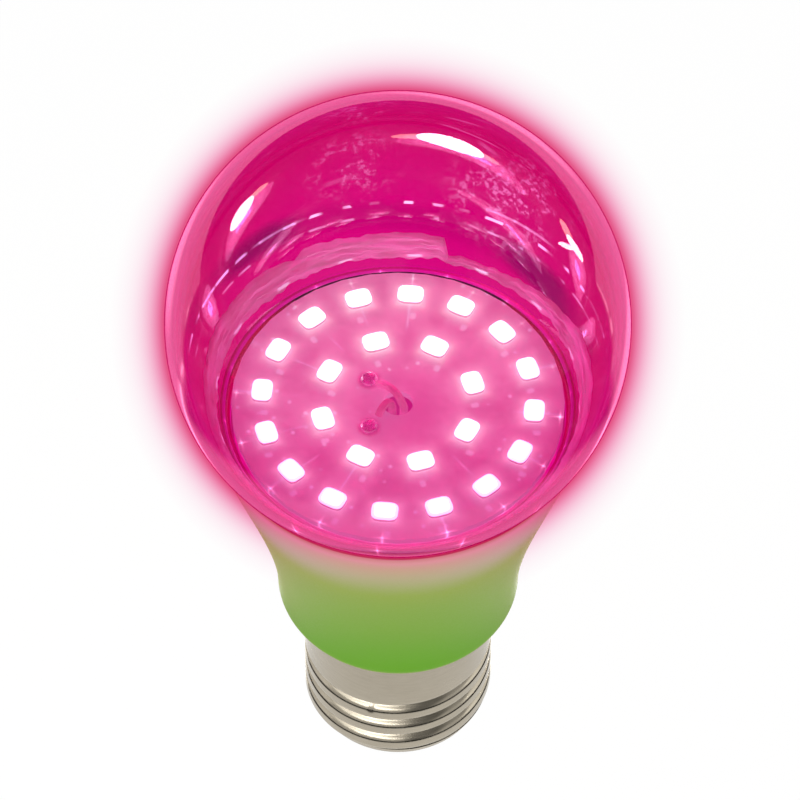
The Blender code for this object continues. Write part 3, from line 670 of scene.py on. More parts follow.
def painted_wall_shade(tree, local, across, height, far):
    """White, with painted shade: deeper in a wavy band above the neck on the far side, darkest to both sides.
    """
    wavy = times(tree, noise(tree, local, 120.0), 1.6 * MM)
    tilted = sums(tree, "ADD", sums(tree, "ADD", height, wavy), times(tree, across, 0.10))
    # Painted shade: a wavy band on the far side, seen through the globe.
    band = times(tree, between(tree, tilted, -12.2 * MM, -11.2 * MM, -9.0 * MM, -7.4 * MM), far)
    sides = between(tree, sums(tree, "ABSOLUTE", across), 12 * MM, 17 * MM, 21 * MM, 25 * MM)
    tint = blend(tree, band, (1, 1, 1, 1), (0.85, 0.80, 0.88, 1))
    return blend(tree, times(tree, band, sides), tint, (0.45, 1.0, 0.62, 1))


def wall_light(tree, local, far, facing):
    """Painted light: the glow of dust and the painted reflections on the far inner wall, painted glints low
    in front, and a painted glow on the outside where the wall is seen at a slant."""
    across, away, height = split(tree, local)[:3]
    inside = sums(tree, "LESS_THAN", length(tree, local), GLOBE_RADIUS - GLOBE_WALL / 2)
    outside = sums(tree, "SUBTRACT", 1.0, inside)
    # Painted light on the far inner wall: glowing dust and painted reflections.
    film = painted_streaks(tree, dust_glow(tree, local), across, height)
    film = times(tree, painted_dashes(tree, film, local, across, height), far, inside)
    # A painted glow on the outside where the wall is seen at a slant.
    painted_edge_glow = times(tree, ramp(tree, facing, 0.45, 0.85), outside)
    close = times(tree, ramp(tree, away, -8 * MM, -18 * MM), ramp(tree, height, -8 * MM, -10 * MM))
    # Painted glints on the outside, low in front.
    sparks = times(tree, ring_glints(tree, local, OUTER_RING["First"], 27.75 * MM), outside, close)
    light = lit(tree, scaled(tree, (0.35, 9.0, 0.95), film), (0.20, 0.01, 0.17), painted_edge_glow)
    return lit(tree, light, (2.4, 1.2, 2.2), sparks)


def add_dye(tree):
    """A volume that takes light. What is left after a depth is exp(-taken x depth), and taken is
    chosen so that one wall leaves DYE_PER_WALL."""
    taken = -np.log(DYE_PER_WALL) / GLOBE_WALL
    dye = add_node(tree, "VolumeAbsorption")
    dye.inputs["Density"].default_value = taken.max()
    dye.inputs["Color"].default_value = (*(1 - taken / taken.max()).tolist(), 1)
    tree.links.new(dye.outputs[0], tree.nodes["Material Output"].inputs["Volume"])


def make_globe_finish():
    """Dyed clear plastic. Lamps reach inside through a plain clear stand-in that only shadow rays
    see, so the board below stays lit."""
    finish, tree, shader, place = new_finish("dyed_clear_plastic")
    local = vector_sums(tree, "SUBTRACT", place, (0, 0, GLOBE_Z))
    across, away, height = split(tree, local)[:3]
    far = ramp(tree, away, 1 * MM, 7 * MM)
    facing = add_node(tree, "LayerWeight", {"Blend": 0.5}).outputs["Facing"]
    # The base colour carries painted shade, and the emission painted light.
    feed(tree, shader, Base_Color=painted_wall_shade(tree, local, across, height, far),
         Emission_Color=wall_light(tree, local, far, facing))
    add_relief(tree, shader, noise(tree, local, 180.0, detail=1.0), 0.05, 0.02 * MM)
    feed(tree, shader, Transmission_Weight=1.0, Roughness=0.0, IOR=1.49, Emission_Strength=1.0)
    # A painted outline, dark magenta, where the glass is seen edge-on.
    thin = add_node(tree, "BsdfTransparent", {"Color": (0.75, 0.75, 1.0, 1)})
    rim = add_node(tree, "Emission", {"Color": (0.26, 0.0, 0.11, 1), "Strength": 1.0})
    outline = add_node(tree, "AddShader", {0: thin.outputs[0], 1: rim.outputs[0]})
    edge = {0: ramp(tree, facing, 0.88, 0.93), 1: shader.outputs[0], 2: outline.outputs[0]}
    edged = add_node(tree, "MixShader", edge)
    lets_lamps = add_node(tree, "BsdfTransparent", {"Color": (0.86, 0.20, 0.55, 1)})
    shadow = tree.nodes.new("ShaderNodeLightPath").outputs["Is Shadow Ray"]
    mixed = add_node(tree, "MixShader", {0: shadow, 1: edged.outputs[0], 2: lets_lamps.outputs[0]})
    tree.links.new(mixed.outputs[0], tree.nodes["Material Output"].inputs["Surface"])
    add_dye(tree)
    return finish


GLOBE_FINISH = make_globe_finish()
print("light left after one wall:", DYE_PER_WALL)

# %% [markdown]
# ## The globe
#
# The real globe is a millimetre thick and ends in a short spigot that plugs into the neck. Both
# walls matter: light that grazes the rim is trapped between them. So the piece is one closed
# turned surface, down the outside, round the spigot and up the inside.

# %% Globe shape
SPIGOT_WALL = 0.6 * MM
SPIGOT_LENGTH = 2.6 * MM
ROOT_DROP = 0.25 * MM
SEAM_RADIUS = GLOBE_RADIUS - 5.6 * MM
SEAM_DROP = -math.sqrt(GLOBE_RADIUS**2 - SEAM_RADIUS**2)
SPIGOT_OUTER = 23.1 * MM
SPIGOT_INNER = SPIGOT_OUTER - SPIGOT_WALL


def globe_profile():
    """Radius and height along the globe's section: two circles of radius R and R less the wall,
    joined by the spigot, from the outer top round to the inner top."""
    inner = GLOBE_RADIUS - GLOBE_WALL
    seam_angle = math.degrees(math.atan2(SEAM_DROP, SEAM_RADIUS))
    inner_angle = math.degrees(-math.acos(SPIGOT_INNER / inner))
    foot = SEAM_DROP - SPIGOT_LENGTH
    rows = [
        [(0.0, GLOBE_RADIUS)],
        arc(0, 0, GLOBE_RADIUS, 89.0, 0, 70)[:-1],
        arc(0, 0, GLOBE_RADIUS, 0, seam_angle, 32),
        stretch((SPIGOT_OUTER, SEAM_DROP - ROOT_DROP), (SPIGOT_OUTER, foot), 4),
        stretch((SPIGOT_OUTER, foot), (SPIGOT_INNER, foot), 2),
        stretch((SPIGOT_INNER, foot), (SPIGOT_INNER, inner * math.sin(math.radians(inner_angle))), 4),
        arc(0, 0, inner, inner_angle, 0, 34)[:-1],
        arc(0, 0, inner, 0, 89.0, 70),
        [(0.0, inner)],
    ]
    return np.vstack(rows) + (0.0, GLOBE_Z)


points, faces = turned(globe_profile(), 224)
globe = add_piece("globe_clear", points, faces, GLOBE_FINISH, ["globe"])
print("globe faces:", len(globe.data.polygons))

# %% [markdown]
# ## The lit board
#
# The board is aluminium under white lacquer. Each package throws light over the lacquer round it,
# which the photograph shows as a soft glow. The shader measures how far each point lies from the
# nearest package of both rings and fades the glow with that distance.

# %% Board finish
def make_board_finish():
    """White lacquer with painted light: a wide glow and a near one round each package, both exp(-distance /
    size), more glow toward the front, specks of dust that glow, smudges and lines of light, painted shade
    round the solder, and painted glints along the edge."""
    finish, tree, shader, place = new_finish("white_lacquer_on_aluminium")
    rings = ring_distances(tree, place)
    nearest = sums(tree, "MINIMUM", rings[0]["Distance"], rings[1]["Distance"])
    near = sums(tree, "EXPONENT", sums(tree, "DIVIDE", nearest, -0.60 * MM))
    wide = sums(tree, "EXPONENT", sums(tree, "DIVIDE", nearest, -2.2 * MM))
    mottle = use_group(tree, MOTTLE, Place=place, Coarse=190.0, Fine=2500.0)
    base = blend(tree, mottle["Drift"], (0.60, 0.60, 0.60, 1), (0.70, 0.74, 0.70, 1))
    feed(tree, shader, Base_Color=base)
    patchy = ramp(tree, mottle["Drift"], 0.0, 1.0, 0.45, 1.1, smooth=False)
    level = times(tree, patchy, sums(tree, "ADD", 0.6, wide))
    glow = blend(tree, level, (0.32, 1.4, 0.37, 1), (0.38, 4.4, 0.60, 1))
    # Painted light: more glow toward the front of the board.
    front = ramp(tree, split(tree, place)[1], -8 * MM, -20 * MM, 0.0, 1.0)
    glow = lit(tree, glow, (0.0, 1.6, 0.10), front)
    glow = lit(tree, glow, (0.3, 7.0, 0.42), near)
    # Specks of dust, painted as light that glows.
    spots = use_group(tree, SPECKS, Place=place, Scale=520.0, Reach=0.22, Patch=90.0, Cover=0.50)
    glow = lit(tree, glow, (0.2, 9.0, 0.8), spots["Mask"])
    # Painted smudges of light, each a little in front of a package.
    moved = vector_sums(tree, "SUBTRACT", place, (0.3 * MM, -3.3 * MM, 0.0))
    glow_blots = []
    for ring in (OUTER_RING, INNER_RING):
        small = {**ring, "Half Along": 0.12 * MM, "Half Across": 0.25 * MM}
        glow_blots.append(use_group(tree, RING_FOLD, Place=moved, **small)["Distance"])
    glow_blot = ramp(tree, sums(tree, "MINIMUM", *glow_blots), 0.1 * MM, 0.45 * MM, 1.0, 0.0)
    glow = lit(tree, glow, (0.1, 4.5, 0.4), glow_blot)
    line = sums(tree, "EXPONENT", sums(tree, "DIVIDE", sums(tree, "ABSOLUTE", rings[0]["Along"]), -0.12 * MM))
    line = times(tree, line, ramp(tree, noise(tree, place, 130.0), 0.48, 0.60),
                 ramp(tree, rings[0]["Across"], -9 * MM, -5 * MM))
    glow = lit(tree, glow, (0.1, 5.0, 0.5), line)
    # Painted shade: the painted glow is dimmed round the solder joints.
    to_pads = []
    for joint in ("solder_joint_positive", "solder_joint_negative"):
        low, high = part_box(joint)
        middle = ((low.x + high.x) / 2, (low.y + high.y) / 2, low.z)
        to_pads.append(distance(tree, place, middle))
    shade = ramp(tree, sums(tree, "MINIMUM", *to_pads), 1.1 * MM, 1.9 * MM, 0.9, 0.0)
    glow = blend(tree, shade, glow, (0.30, 0.05, 0.20, 1))
    # Painted glints along the board's edge, brightest in front.
    lower = vector_sums(tree, "SUBTRACT", place, (0.0, -0.35 * MM, 0.0))
    edge = times(tree, ring_glints(tree, lower, OUTER_RING["First"], 21.6 * MM),
                 ramp(tree, split(tree, place)[1], 9 * MM, -9 * MM, 0.12, 1.0))
    glow = lit(tree, glow, (3.0, 70.0, 5.0), edge)
    feed(tree, shader, Emission_Color=glow, Emission_Strength=1.0, Roughness=0.42)
    add_relief(tree, shader, mottle["Grain"], 0.25, 0.03 * MM)
    return finish


def dress(finish, *nodes):
    """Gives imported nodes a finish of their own."""
    for node in nodes:
        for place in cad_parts[node].material_slots:
            place.material = finish


dress(make_board_finish(), "led_board")

# %% [markdown]
# ## The light-emitting packages
#
# Each package is a white block with a yellow window that glows when lit. It is far brighter than
# the room, so the photograph shows it as pure white, even through the pink. Its sides stay dim, or
# it would look too tall. The block's outline is a superellipse, a rounded rectangle from one
# formula, drawn in at the top edge and again at the window.


# %% Package finishes
def make_window_finish():
    """The lit window: phosphor of even light, far brighter over the small dies in its middle."""
    finish, tree, shader, place = new_finish("lit_phosphor", lights_up=True)
    grain = use_group(tree, MOTTLE, Place=place, Coarse=900.0, Fine=6000.0)
    tone = blend(tree, grain["Drift"], (1.0, 0.92, 0.60, 1), (0.9, 0.80, 0.45, 1))
    feed(tree, shader, Base_Color=tone)
    spots = []
    for ring in (OUTER_RING, INNER_RING):
        point = {**ring, "Half Along": 0.3 * MM, "Half Across": 0.0}
        spots.append(use_group(tree, RING_FOLD, Place=place, **point)["Distance"])
    die = ramp(tree, sums(tree, "MINIMUM", *spots), 0.2 * MM, 0.5 * MM, 1.0, 0.0)
    even = scaled(tree, (4.6, 95.0, 9.0), ramp(tree, grain["Grain"], 0.2, 0.8, 0.9, 1.1))
    glow = lit(tree, even, (20.0, 300.0, 36.0), die)
    feed(tree, shader, Emission_Color=glow, Emission_Strength=1.0, Roughness=0.35)
    return finish


def make_frame_finish():
    """The white moulded frame, lit from within: bright on top and dim down its sides."""
    finish, tree, shader, place = new_finish("glowing_white_body", lights_up=True)
    grain = use_group(tree, MOTTLE, Place=place, Coarse=900.0, Fine=6000.0)
    tone = blend(tree, grain["Drift"], (0.95, 0.93, 0.93, 1), (0.86, 0.83, 0.80, 1))
    feed(tree, shader, Base_Color=tone)
    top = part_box("led_01")[1].z
    height = split(tree, place)[2]
    level = times(tree, ramp(tree, height, top - 0.30 * MM, top - 0.12 * MM, 0.07, 1.0),
                 ramp(tree, grain["Grain"], 0.2, 0.8, 0.9, 1.1))
    glow = scaled(tree, (3.0, 60.0, 5.6), level)
    feed(tree, shader, Emission_Color=glow, Emission_Strength=1.0, Roughness=0.35)
    return finish

# %% [markdown]
# ## The package's shape
#
# Rings of the same outline are stacked: the window, the frame round it, the rounded top edge and
# the sides. The window's faces take the second finish of the piece, and the rest the first. The
# shape is drawn once and turned to its place in the ring for each package.


# %% Package shape
def package_surface(length, width, height):
    """Rings of a superellipse, |x/a|^n + |y/b|^n = 1 with n = 3.6, from the window's middle out to
    the frame, over the rounded top edge and down the sides to the underside's middle."""
    t = np.linspace(0, 2 * np.pi, 40, endpoint=False)
    unit = np.stack([np.cos(t), np.sin(t)], axis=1)
    outline = np.sign(unit) * np.abs(unit) ** (2 / 3.6) * (length / 2, width / 2)
    levels = [(0.78, 0.42), (0.82, 0.5), (0.95, 0.5), (0.985, 0.45), (1.0, 0.36), (1.0, -0.5)]
    rows = [np.column_stack([outline * size, np.full(len(t), z * height)]) for size, z in levels]
    count, last = len(t), (len(rows) - 1) * len(t)
    points = np.vstack([*rows, (0, 0, 0.42 * height), (0, 0, -0.5 * height)])
    faces = grid_quads(len(rows), count, closed=False).tolist()
    j = np.arange(count)
    middle = np.full(count, len(rows) * count)
    window = np.stack([middle, j, (j + 1) % count], axis=1).tolist()
    underside = np.stack([last + j, middle + 1, last + (j + 1) % count], axis=1).tolist()
    kinds = np.concatenate([np.zeros(len(faces)), np.ones(count), np.zeros(count)])
    return points, faces + window + underside, kinds.astype(np.int32)


def make_packages():
    """One package over each packed one, its long side along the ring."""
    window, body = make_window_finish(), make_frame_finish()
    for number in range(1, 25):
        node = f"led_{number:02d}"
        low, high = (np.array(corner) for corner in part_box(node))
        middle = (low + high) / 2
        turn = math.atan2(middle[1], middle[0]) + math.pi / 2
        c, s = math.cos(turn), math.sin(turn)
        points, faces, kinds = package_surface(3.45 * MM, 2.74 * MM, high[2] - low[2])
        points = points @ np.array([[c, s, 0], [-s, c, 0], [0, 0, 1]]) + middle
        piece = add_piece(f"package_{number:02d}", points, faces, body, [node])
        piece.data.materials.append(window)
        piece.data.polygons.foreach_set("material_index", kinds)


make_packages()

# %% [markdown]
# ## The silicone
#
# A bead of silicone, wiped round by a finger, seals the globe to the neck from inside. It clings
# to the globe's inner wall: tall and streaky behind, thin to the right of the middle where the
# finger left it, and ragged at its upper edge. Its section is a lens whose height and thickness
# change with the angle, and sums of sines give it its ragged edge. At its foot it catches short
# glints, one beside each outer package.

# %% Silicone shape
SILICONE_ANGLES = (-180, -110, -73, -48, -33, -29, -12, 9, 14, 16, 26, 42, 59, 73, 110, 180)
SILICONE_TOPS = (-14.4, -13.6, -12.6, -12.3, -13.2, -12.5, -12.8, -12.9, -12.9, -14.9, -14.8, -14.5,
                 -13.5, -12.7, -13.6, -14.4)
SILICONE_FOOT = -15.9


def ragged(angle, seed):
    """A sum of sines of rising pitch and falling height, between about -1 and 1."""
    rng = np.random.default_rng(seed)
    pitch = np.arange(9, 90, 7)
    parts = np.sin(angle[..., None] * pitch + rng.uniform(0, 6.28, len(pitch))) / np.sqrt(pitch)
    return parts.sum(axis=-1)


def silicone_surface(columns=720, rows=14):
    """A closed loop of rows round each section: up the face on the wall, down the free face."""
    azimuth = np.linspace(-np.pi, np.pi, columns, endpoint=False)
    top = np.interp(np.degrees(azimuth), SILICONE_ANGLES, SILICONE_TOPS) * MM
    top = top + 0.22 * MM * ragged(azimuth, 3)
    foot = SILICONE_FOOT * MM + 0.25 * MM * ragged(azimuth, 5)
    share = np.concatenate([np.linspace(0, 1, rows), np.linspace(1, 0, rows)[1:-1]])[:, None]
    free = np.concatenate([np.zeros(rows), np.ones(rows - 2)])[:, None]
    height = foot + (top - foot) * share
    swell = np.sqrt(np.clip(4 * share * (1 - share), 0, 1))
    streak = 1 + 0.5 * ragged(azimuth * 0.3 + 9 * share, 8)
    wall = np.sqrt((GLOBE_RADIUS - GLOBE_WALL - 0.06 * MM) ** 2 - height**2)
    radius = wall - free * swell * 0.38 * MM * streak - free * 0.02 * MM
    points = np.stack([radius * np.sin(azimuth), radius * np.cos(azimuth), height + GLOBE_Z], axis=2)
    return points.reshape(-1, 3), grid_quads(len(share), columns, closed=True)

# %% [markdown]
# ## The silicone's finish
#
# Cured silicone is milky, and here the packages light it through. Noise stretched round the bulb
# gives the streaks that the finger left, in its light and in its relief.


# %% Silicone finish
def make_silicone_finish():
    """Milky rubber lit by the packages: streaks along the wipe, dimmer on the left, and glints."""
    finish, tree, shader, place = new_finish("milky_silicone")
    long_way = add_node(tree, "Mapping", {"Vector": place, "Scale": (0.12, 0.12, 1.0)})
    streaks = noise(tree, long_way.outputs[0], 1500.0, detail=4.0, roughness=0.6, distortion=0.5)
    mottle = use_group(tree, MOTTLE, Place=place, Coarse=130.0, Fine=2600.0)
    base = blend(tree, mottle["Drift"], (0.70, 0.72, 0.70, 1), (0.78, 0.80, 0.78, 1))
    feed(tree, shader, Base_Color=base)
    level = sums(tree, "ADD", ramp(tree, streaks, 0.35, 0.68, 0.25, 1.0), times(tree, mottle["Drift"], 0.25))
    across = split(tree, place)[0]
    level = times(tree, level, ramp(tree, across, -22 * MM, -8 * MM, 0.45, 1.0))
    row = use_group(tree, RING_FOLD, Place=place, **{**OUTER_RING, "Half Along": 0.9 * MM})
    foot = sums(tree, "SUBTRACT", split(tree, place)[2], GLOBE_Z - 15.4 * MM)
    beside = sums(tree, "SUBTRACT", sums(tree, "ABSOLUTE", row["Along"]), 1.0 * MM)
    caught = times(tree, ramp(tree, beside, 0.3 * MM, -0.4 * MM),
                  ramp(tree, sums(tree, "ABSOLUTE", foot), 0.28 * MM, 0.08 * MM))
    glow = lit(tree, scaled(tree, (0.40, 1.25, 0.42), level), (0.4, 14.0, 1.2), caught)
    feed(tree, shader, Emission_Color=glow)
    add_relief(tree, shader, streaks, 0.4, 0.08 * MM)
    feed(tree, shader, Emission_Strength=1.0, Roughness=0.4)
    return finish


points, faces = silicone_surface()
bead = add_piece("silicone_bead", points, faces, make_silicone_finish(), ["adhesive_ring"])
print("silicone faces:", len(bead.data.polygons))

# %% [markdown]
# ## The neck
#
# The neck is moulded in satin green plastic. Its flare is one Bezier curve, and its section also
# has the lip round the globe's spigot and the spigot that carries the cap. Pink light leaks out
# where the globe meets it, so its top glows pink and fades within a few millimetres.

# %% Neck shape
NECK_RADIUS, NECK_EDGE, NECK_WALL, LIP_WALL = 16.5 * MM, 1.6 * MM, 1.6 * MM, 1.2 * MM
neck_low, neck_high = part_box("housing")
RIM_Z = neck_high.z
NECK_Z = RIM_Z - 38.7 * MM
RIM_RADIUS = (neck_high.x - neck_low.x) / 2
SHELL_BORE, SPIGOT_CLEAR, CAP_SPIGOT_WALL = 12.7 * MM, 0.3 * MM, 1.4 * MM


def flare(heights):
    """Outer radius at heights above the neck's base: a cubic Bezier from the edge at the neck to
    the rim, read at those heights."""
    t = np.linspace(0, 1, 400)[:, None]
    tall = RIM_Z - NECK_Z
    corners = np.array([(NECK_RADIUS, NECK_EDGE), (NECK_RADIUS, NECK_EDGE + 13.6 * MM),
                        (RIM_RADIUS, tall - 4.6 * MM), (RIM_RADIUS, tall)])
    weights = np.hstack([(1 - t) ** 3, 3 * t * (1 - t) ** 2, 3 * t**2 * (1 - t), t**3])
    curve = weights @ corners
    return np.interp(heights, curve[:, 1], curve[:, 0])


def neck_profile():
    """The neck's section, down the outside from the rim and back up the inside."""
    tall = RIM_Z - NECK_Z
    shoulder = tall + 0.3 * MM - SPIGOT_LENGTH - 0.3 * MM
    round_rim = 0.25 * MM
    heights = np.linspace(tall - round_rim, NECK_EDGE, 70)
    spigot = SHELL_BORE - SPIGOT_CLEAR
    bore = spigot - CAP_SPIGOT_WALL
    lip_inner = RIM_RADIUS - LIP_WALL
    inside = np.linspace(NECK_WALL, shoulder, 30)
    rows = [
        arc(RIM_RADIUS - round_rim, tall - round_rim, round_rim, 90, 15, 5),
        np.column_stack([flare(heights), heights]),
        arc(NECK_RADIUS - NECK_EDGE, NECK_EDGE, NECK_EDGE, 0, -90, 12)[1:],
        [(spigot, 0.0), (spigot, -9.0 * MM), (bore, -9.0 * MM), (bore, NECK_WALL)],
        np.column_stack([flare(inside) - NECK_WALL, inside]),
        [(lip_inner, shoulder), (lip_inner, tall)],
    ]
    return np.vstack(rows) + (0.0, NECK_Z)

# %% [markdown]
# ## The neck's finish
#
# The plastic is thin enough for the globe's light to shine a little way into it. That glow depends
# on height alone, so it is a power of the height below the rim, and two powers give a wide faint
# part and a short strong one.


# %% Neck finish
def make_neck_finish():
    """Green by height. Pink light leaking in near the rim is painted as emission: a wide share, height^3, and
    a near one, height^15, with a painted sheen where the neck is seen at a slant. The lip itself is painted
    lit magenta, with painted glints on its inner face."""
    finish, tree, shader, place = new_finish("satin_green_plastic")
    mottle = use_group(tree, MOTTLE, Place=place, Coarse=70.0, Fine=5000.0)
    height = split(tree, place)[2]
    green = blend(tree, ramp(tree, height, NECK_Z, RIM_Z - 8 * MM), (0.125, 0.45, 0.006, 1),
                  (0.22, 0.46, 0.02, 1))
    green = blend(tree, times(tree, mottle["Drift"], 0.25), green, (0.17, 0.44, 0.02, 1))
    feed(tree, shader, Base_Color=green)
    low = ramp(tree, height, RIM_Z - 24 * MM, RIM_Z - 1 * MM, smooth=False)
    wide = sums(tree, "POWER", low, 3.0)
    near = sums(tree, "POWER", low, 15.0)
    leak = lit(tree, scaled(tree, (0.30, 0.34, 0.04), wide), (0.26, 0.04, 0.40), near)
    flat = vector_sums(tree, "MULTIPLY", place, (1, 1, 0))
    reach = length(tree, flat)
    inner = times(tree, sums(tree, "LESS_THAN", reach, RIM_RADIUS - 0.6 * LIP_WALL),
                  sums(tree, "GREATER_THAN", height, RIM_Z - 3 * MM))
    lip = sums(tree, "MAXIMUM", inner, sums(tree, "GREATER_THAN", height, RIM_Z - 0.05 * MM))
    leak = blend(tree, lip, leak, (0.46, 0.0, 0.20, 1))
    leak = blend(tree, inner, leak, (0.70, 0.0, 0.70, 1))
    facing = add_node(tree, "LayerWeight", {"Blend": 0.5}).outputs["Facing"]
    # A painted sheen where the neck is seen at a slant, near the rim.
    grazed = times(tree, ramp(tree, facing, 0.42, 0.88), ramp(tree, height, RIM_Z - 14 * MM, RIM_Z - 3 * MM))
    leak = lit(tree, leak, (0.20, 0.10, 0.42), grazed)
    # Painted glints on the lip's inner face, between the packages.
    glints = ring_glints(tree, place, OUTER_RING["First"] + math.radians(11.25), 23.3 * MM)
    leak = lit(tree, leak, (1.5, 14.0, 2.0), times(tree, glints, inner))
    feed(tree, shader, Emission_Color=leak)
    rough = ramp(tree, mottle["Grain"], 0.3, 0.7, 0.34, 0.44)
    feed(tree, shader, Roughness=rough)
    add_relief(tree, shader, mottle["Grain"], 0.15, 0.03 * MM)
    feed(tree, shader, Emission_Strength=1.0, Specular_IOR_Level=0.2, Sheen_Weight=0.35,
         Sheen_Roughness=0.4, Sheen_Tint=(1.0, 0.55, 0.10, 1))
    return finish


points, faces = turned(neck_profile(), 224)
neck = add_piece("neck_green", points, faces, make_neck_finish(), ["housing"])
print("neck faces:", len(neck.data.polygons))

# %% [markdown]
# ## The screw cap
#
# The cap is thin nickel-plated steel. A rolled thread is a wave whose crest climbs one pitch a
# turn, so its radius depends on height and angle together, and it fades out at both ends. The
# outer surface is that function on a fine grid, and the inner one is the same less the wall.

# %% Cap shape
PITCH, TURNS, CREST, THREAD_DEPTH = 3.629 * MM, 4, 13.1 * MM, 1.0 * MM
THREAD_PHASE, CAP_WALL, LIP_HEIGHT, LIP_RADIUS = 0.17, 0.4 * MM, 1.0 * MM, 10.0 * MM
cap_low, cap_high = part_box("screw_shell")
CAP_Z, CAP_TOP = cap_low.z, cap_high.z
STAKES = [(math.radians(-107), 12.2 * MM), (math.radians(73), 14.0 * MM)]


def smooth_step(x):
    """0 below 0, 1 above 1, and 3x^2 - 2x^3 between."""
    x = np.clip(x, 0, 1)
    return x * x * (3 - 2 * x)


def thread_radius(angle, height):
    """Outer radius at an angle and a height above the cap's lower edge: the root radius plus the
    depth times a rounded cosine of height / pitch - angle / turn, faded at both ends."""
    up_thread = height - LIP_HEIGHT
    turn = up_thread / PITCH - (angle + math.pi / 2) / (2 * math.pi) + THREAD_PHASE
    wave = (1 + np.cos(2 * np.pi * turn)) / 2
    wave = 1 - (1 - wave) ** 4.0
    root = CREST - THREAD_DEPTH
    below = smooth_step(up_thread / (PITCH / 2))
    above = smooth_step((TURNS * PITCH - up_thread) / (PITCH / 2))
    threaded = root + THREAD_DEPTH * wave * below
    radius = above * threaded + (1 - above) * CREST
    roll = np.clip(height / LIP_HEIGHT, 0, 1)
    lip = LIP_RADIUS + (root - LIP_RADIUS) * np.sqrt(1 - (1 - roll) ** 2)
    return np.where(height < LIP_HEIGHT, lip, radius)


def stake_depth(angle, height):
    """How far a small punch mark presses the cap in: a round bell about each mark."""
    dent = np.zeros(np.broadcast(angle, height).shape)
    for mark_angle, mark_height in STAKES:
        along = (np.mod(angle - mark_angle + np.pi, 2 * np.pi) - np.pi) * CREST
        dent += 0.22 * MM * np.exp(-((along / (0.3 * MM)) ** 2) - ((height - mark_height) / (0.6 * MM)) ** 2)
    return dent


def cap_surface(columns):
    """Grid of points down the outside and up the inside of the cap."""
    tall = CAP_TOP - CAP_Z
    angle = np.linspace(0, 2 * np.pi, columns, endpoint=False)[None, :]
    lip = LIP_HEIGHT * (1 - np.cos(np.linspace(0, np.pi / 2, 8)))
    thread = np.linspace(LIP_HEIGHT, LIP_HEIGHT + TURNS * PITCH, 110)[1:]
    collar = np.linspace(thread[-1], tall, 8)[1:]
    outside = np.concatenate([lip, thread, collar])[::-1, None]
    inside = np.concatenate([lip[::2], thread[::3], collar[::3]])[:, None]
    inside = np.minimum(np.maximum(inside, 0.12 * MM), tall)
    rows = []
    for heights, wall in ((outside, 0.0), (inside, CAP_WALL)):
        radius = thread_radius(angle, heights) - stake_depth(angle, heights) - wall
        level = heights + 0 * angle + CAP_Z
        rows.append(np.stack([radius * np.cos(angle), radius * np.sin(angle), level], axis=2))
    grid = np.vstack(rows)
    return grid.reshape(-1, 3), grid_quads(len(grid), columns, closed=True)

# %% [markdown]
# ## The cap's finish and lamps
#
# Nickel is a warm grey mirror with fine rings of wear. Four lamps of its own draw its highlights,
# because those of the globe would fall in the wrong place: light linking lets a lamp reach only
# the pieces in one collection.


# %% Cap finish and lamps
def make_nickel_finish():
    """Plated steel: warm grey in two tones, with fine rings of wear round the axis."""
    finish, tree, shader, place = new_finish("nickel_plate")
    mottle = use_group(tree, MOTTLE, Place=place, Coarse=120.0, Fine=2200.0)
    rings = add_node(tree, "Mapping", {"Vector": place, "Scale": (0.06, 0.06, 1.0)}).outputs[0]
    brushed = noise(tree, rings, 5200.0, detail=2.0)
    base = blend(tree, mottle["Drift"], (0.46, 0.41, 0.32, 1), (0.52, 0.465, 0.37, 1))
    feed(tree, shader, Base_Color=base)
    rough = sums(tree, "ADD", ramp(tree, brushed, 0.3, 0.7, 0.18, 0.24), times(tree, mottle["Drift"], 0.05))
    feed(tree, shader, Roughness=rough)
    add_relief(tree, shader, brushed, 0.05, 0.01 * MM)
    feed(tree, shader, Metallic=1.0)
    return finish


NICKEL = make_nickel_finish()
points, faces = cap_surface(300)
cap = add_piece("cap_nickel", points, faces, NICKEL, ["screw_shell"], crease=50)
only_cap = bpy.data.collections.new("lit_by_the_cap_lamp")
only_cap.objects.link(cap)
for name, azimuth, elevation, size, watts in (
    ("strip_threads", -150, 42, (0.80, 0.22), 1.8),
    ("strip_threads_left", -100, 42, (0.80, 0.22), 0.75),
    ("cap_side_left", -70, 15, (1.3, 0.9), 2.3),
    ("cap_side_right", 80, 15, (1.3, 0.9), 3.0),
):
    lamp = add_lamp(name, azimuth, elevation, 1.0, size, watts, True)
    lamp.light_linking.receiver_collection = only_cap
print("cap faces:", len(cap.data.polygons))

# %% [markdown]
# ## The end of the cap and the hidden works
#
# The cap ends in a black glass-like insulator and a turned contact. Inside the neck sit the cup
# and the driver, seen only from odd angles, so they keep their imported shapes. Each still gets a
# finish with drift, grain and relief of its own from one recipe.


# %% End of the cap
def make_worked_finish(name, dark, pale, rough=0.4, metal=0.0, coarse=200.0, fine=4000.0,
                       relief=0.2, light=None):
    """The common recipe: two tones mixed by drift, gloss broken by grain, and fine relief, and a painted glow
    where a light is given.
    """
    finish, tree, shader, place = new_finish(name)
    mottle = use_group(tree, MOTTLE, Place=place, Coarse=coarse, Fine=fine)
    feed(tree, shader, Base_Color=blend(tree, mottle["Drift"], (*dark, 1), (*pale, 1)))
    gloss = ramp(tree, mottle["Grain"], 0.3, 0.7, 0.8 * rough, min(1.0, 1.2 * rough))
    feed(tree, shader, Roughness=gloss)
    add_relief(tree, shader, mottle["Grain"], relief, 0.05 * MM)
    feed(tree, shader, Metallic=metal)
    # A painted glow: the globe's light on a hidden piece.
    if light:
        glow = scaled(tree, light, ramp(tree, mottle["Drift"], 0.0, 1.0, 0.7, 1.1))
        feed(tree, shader, Emission_Color=glow, Emission_Strength=1.0)
    return finish


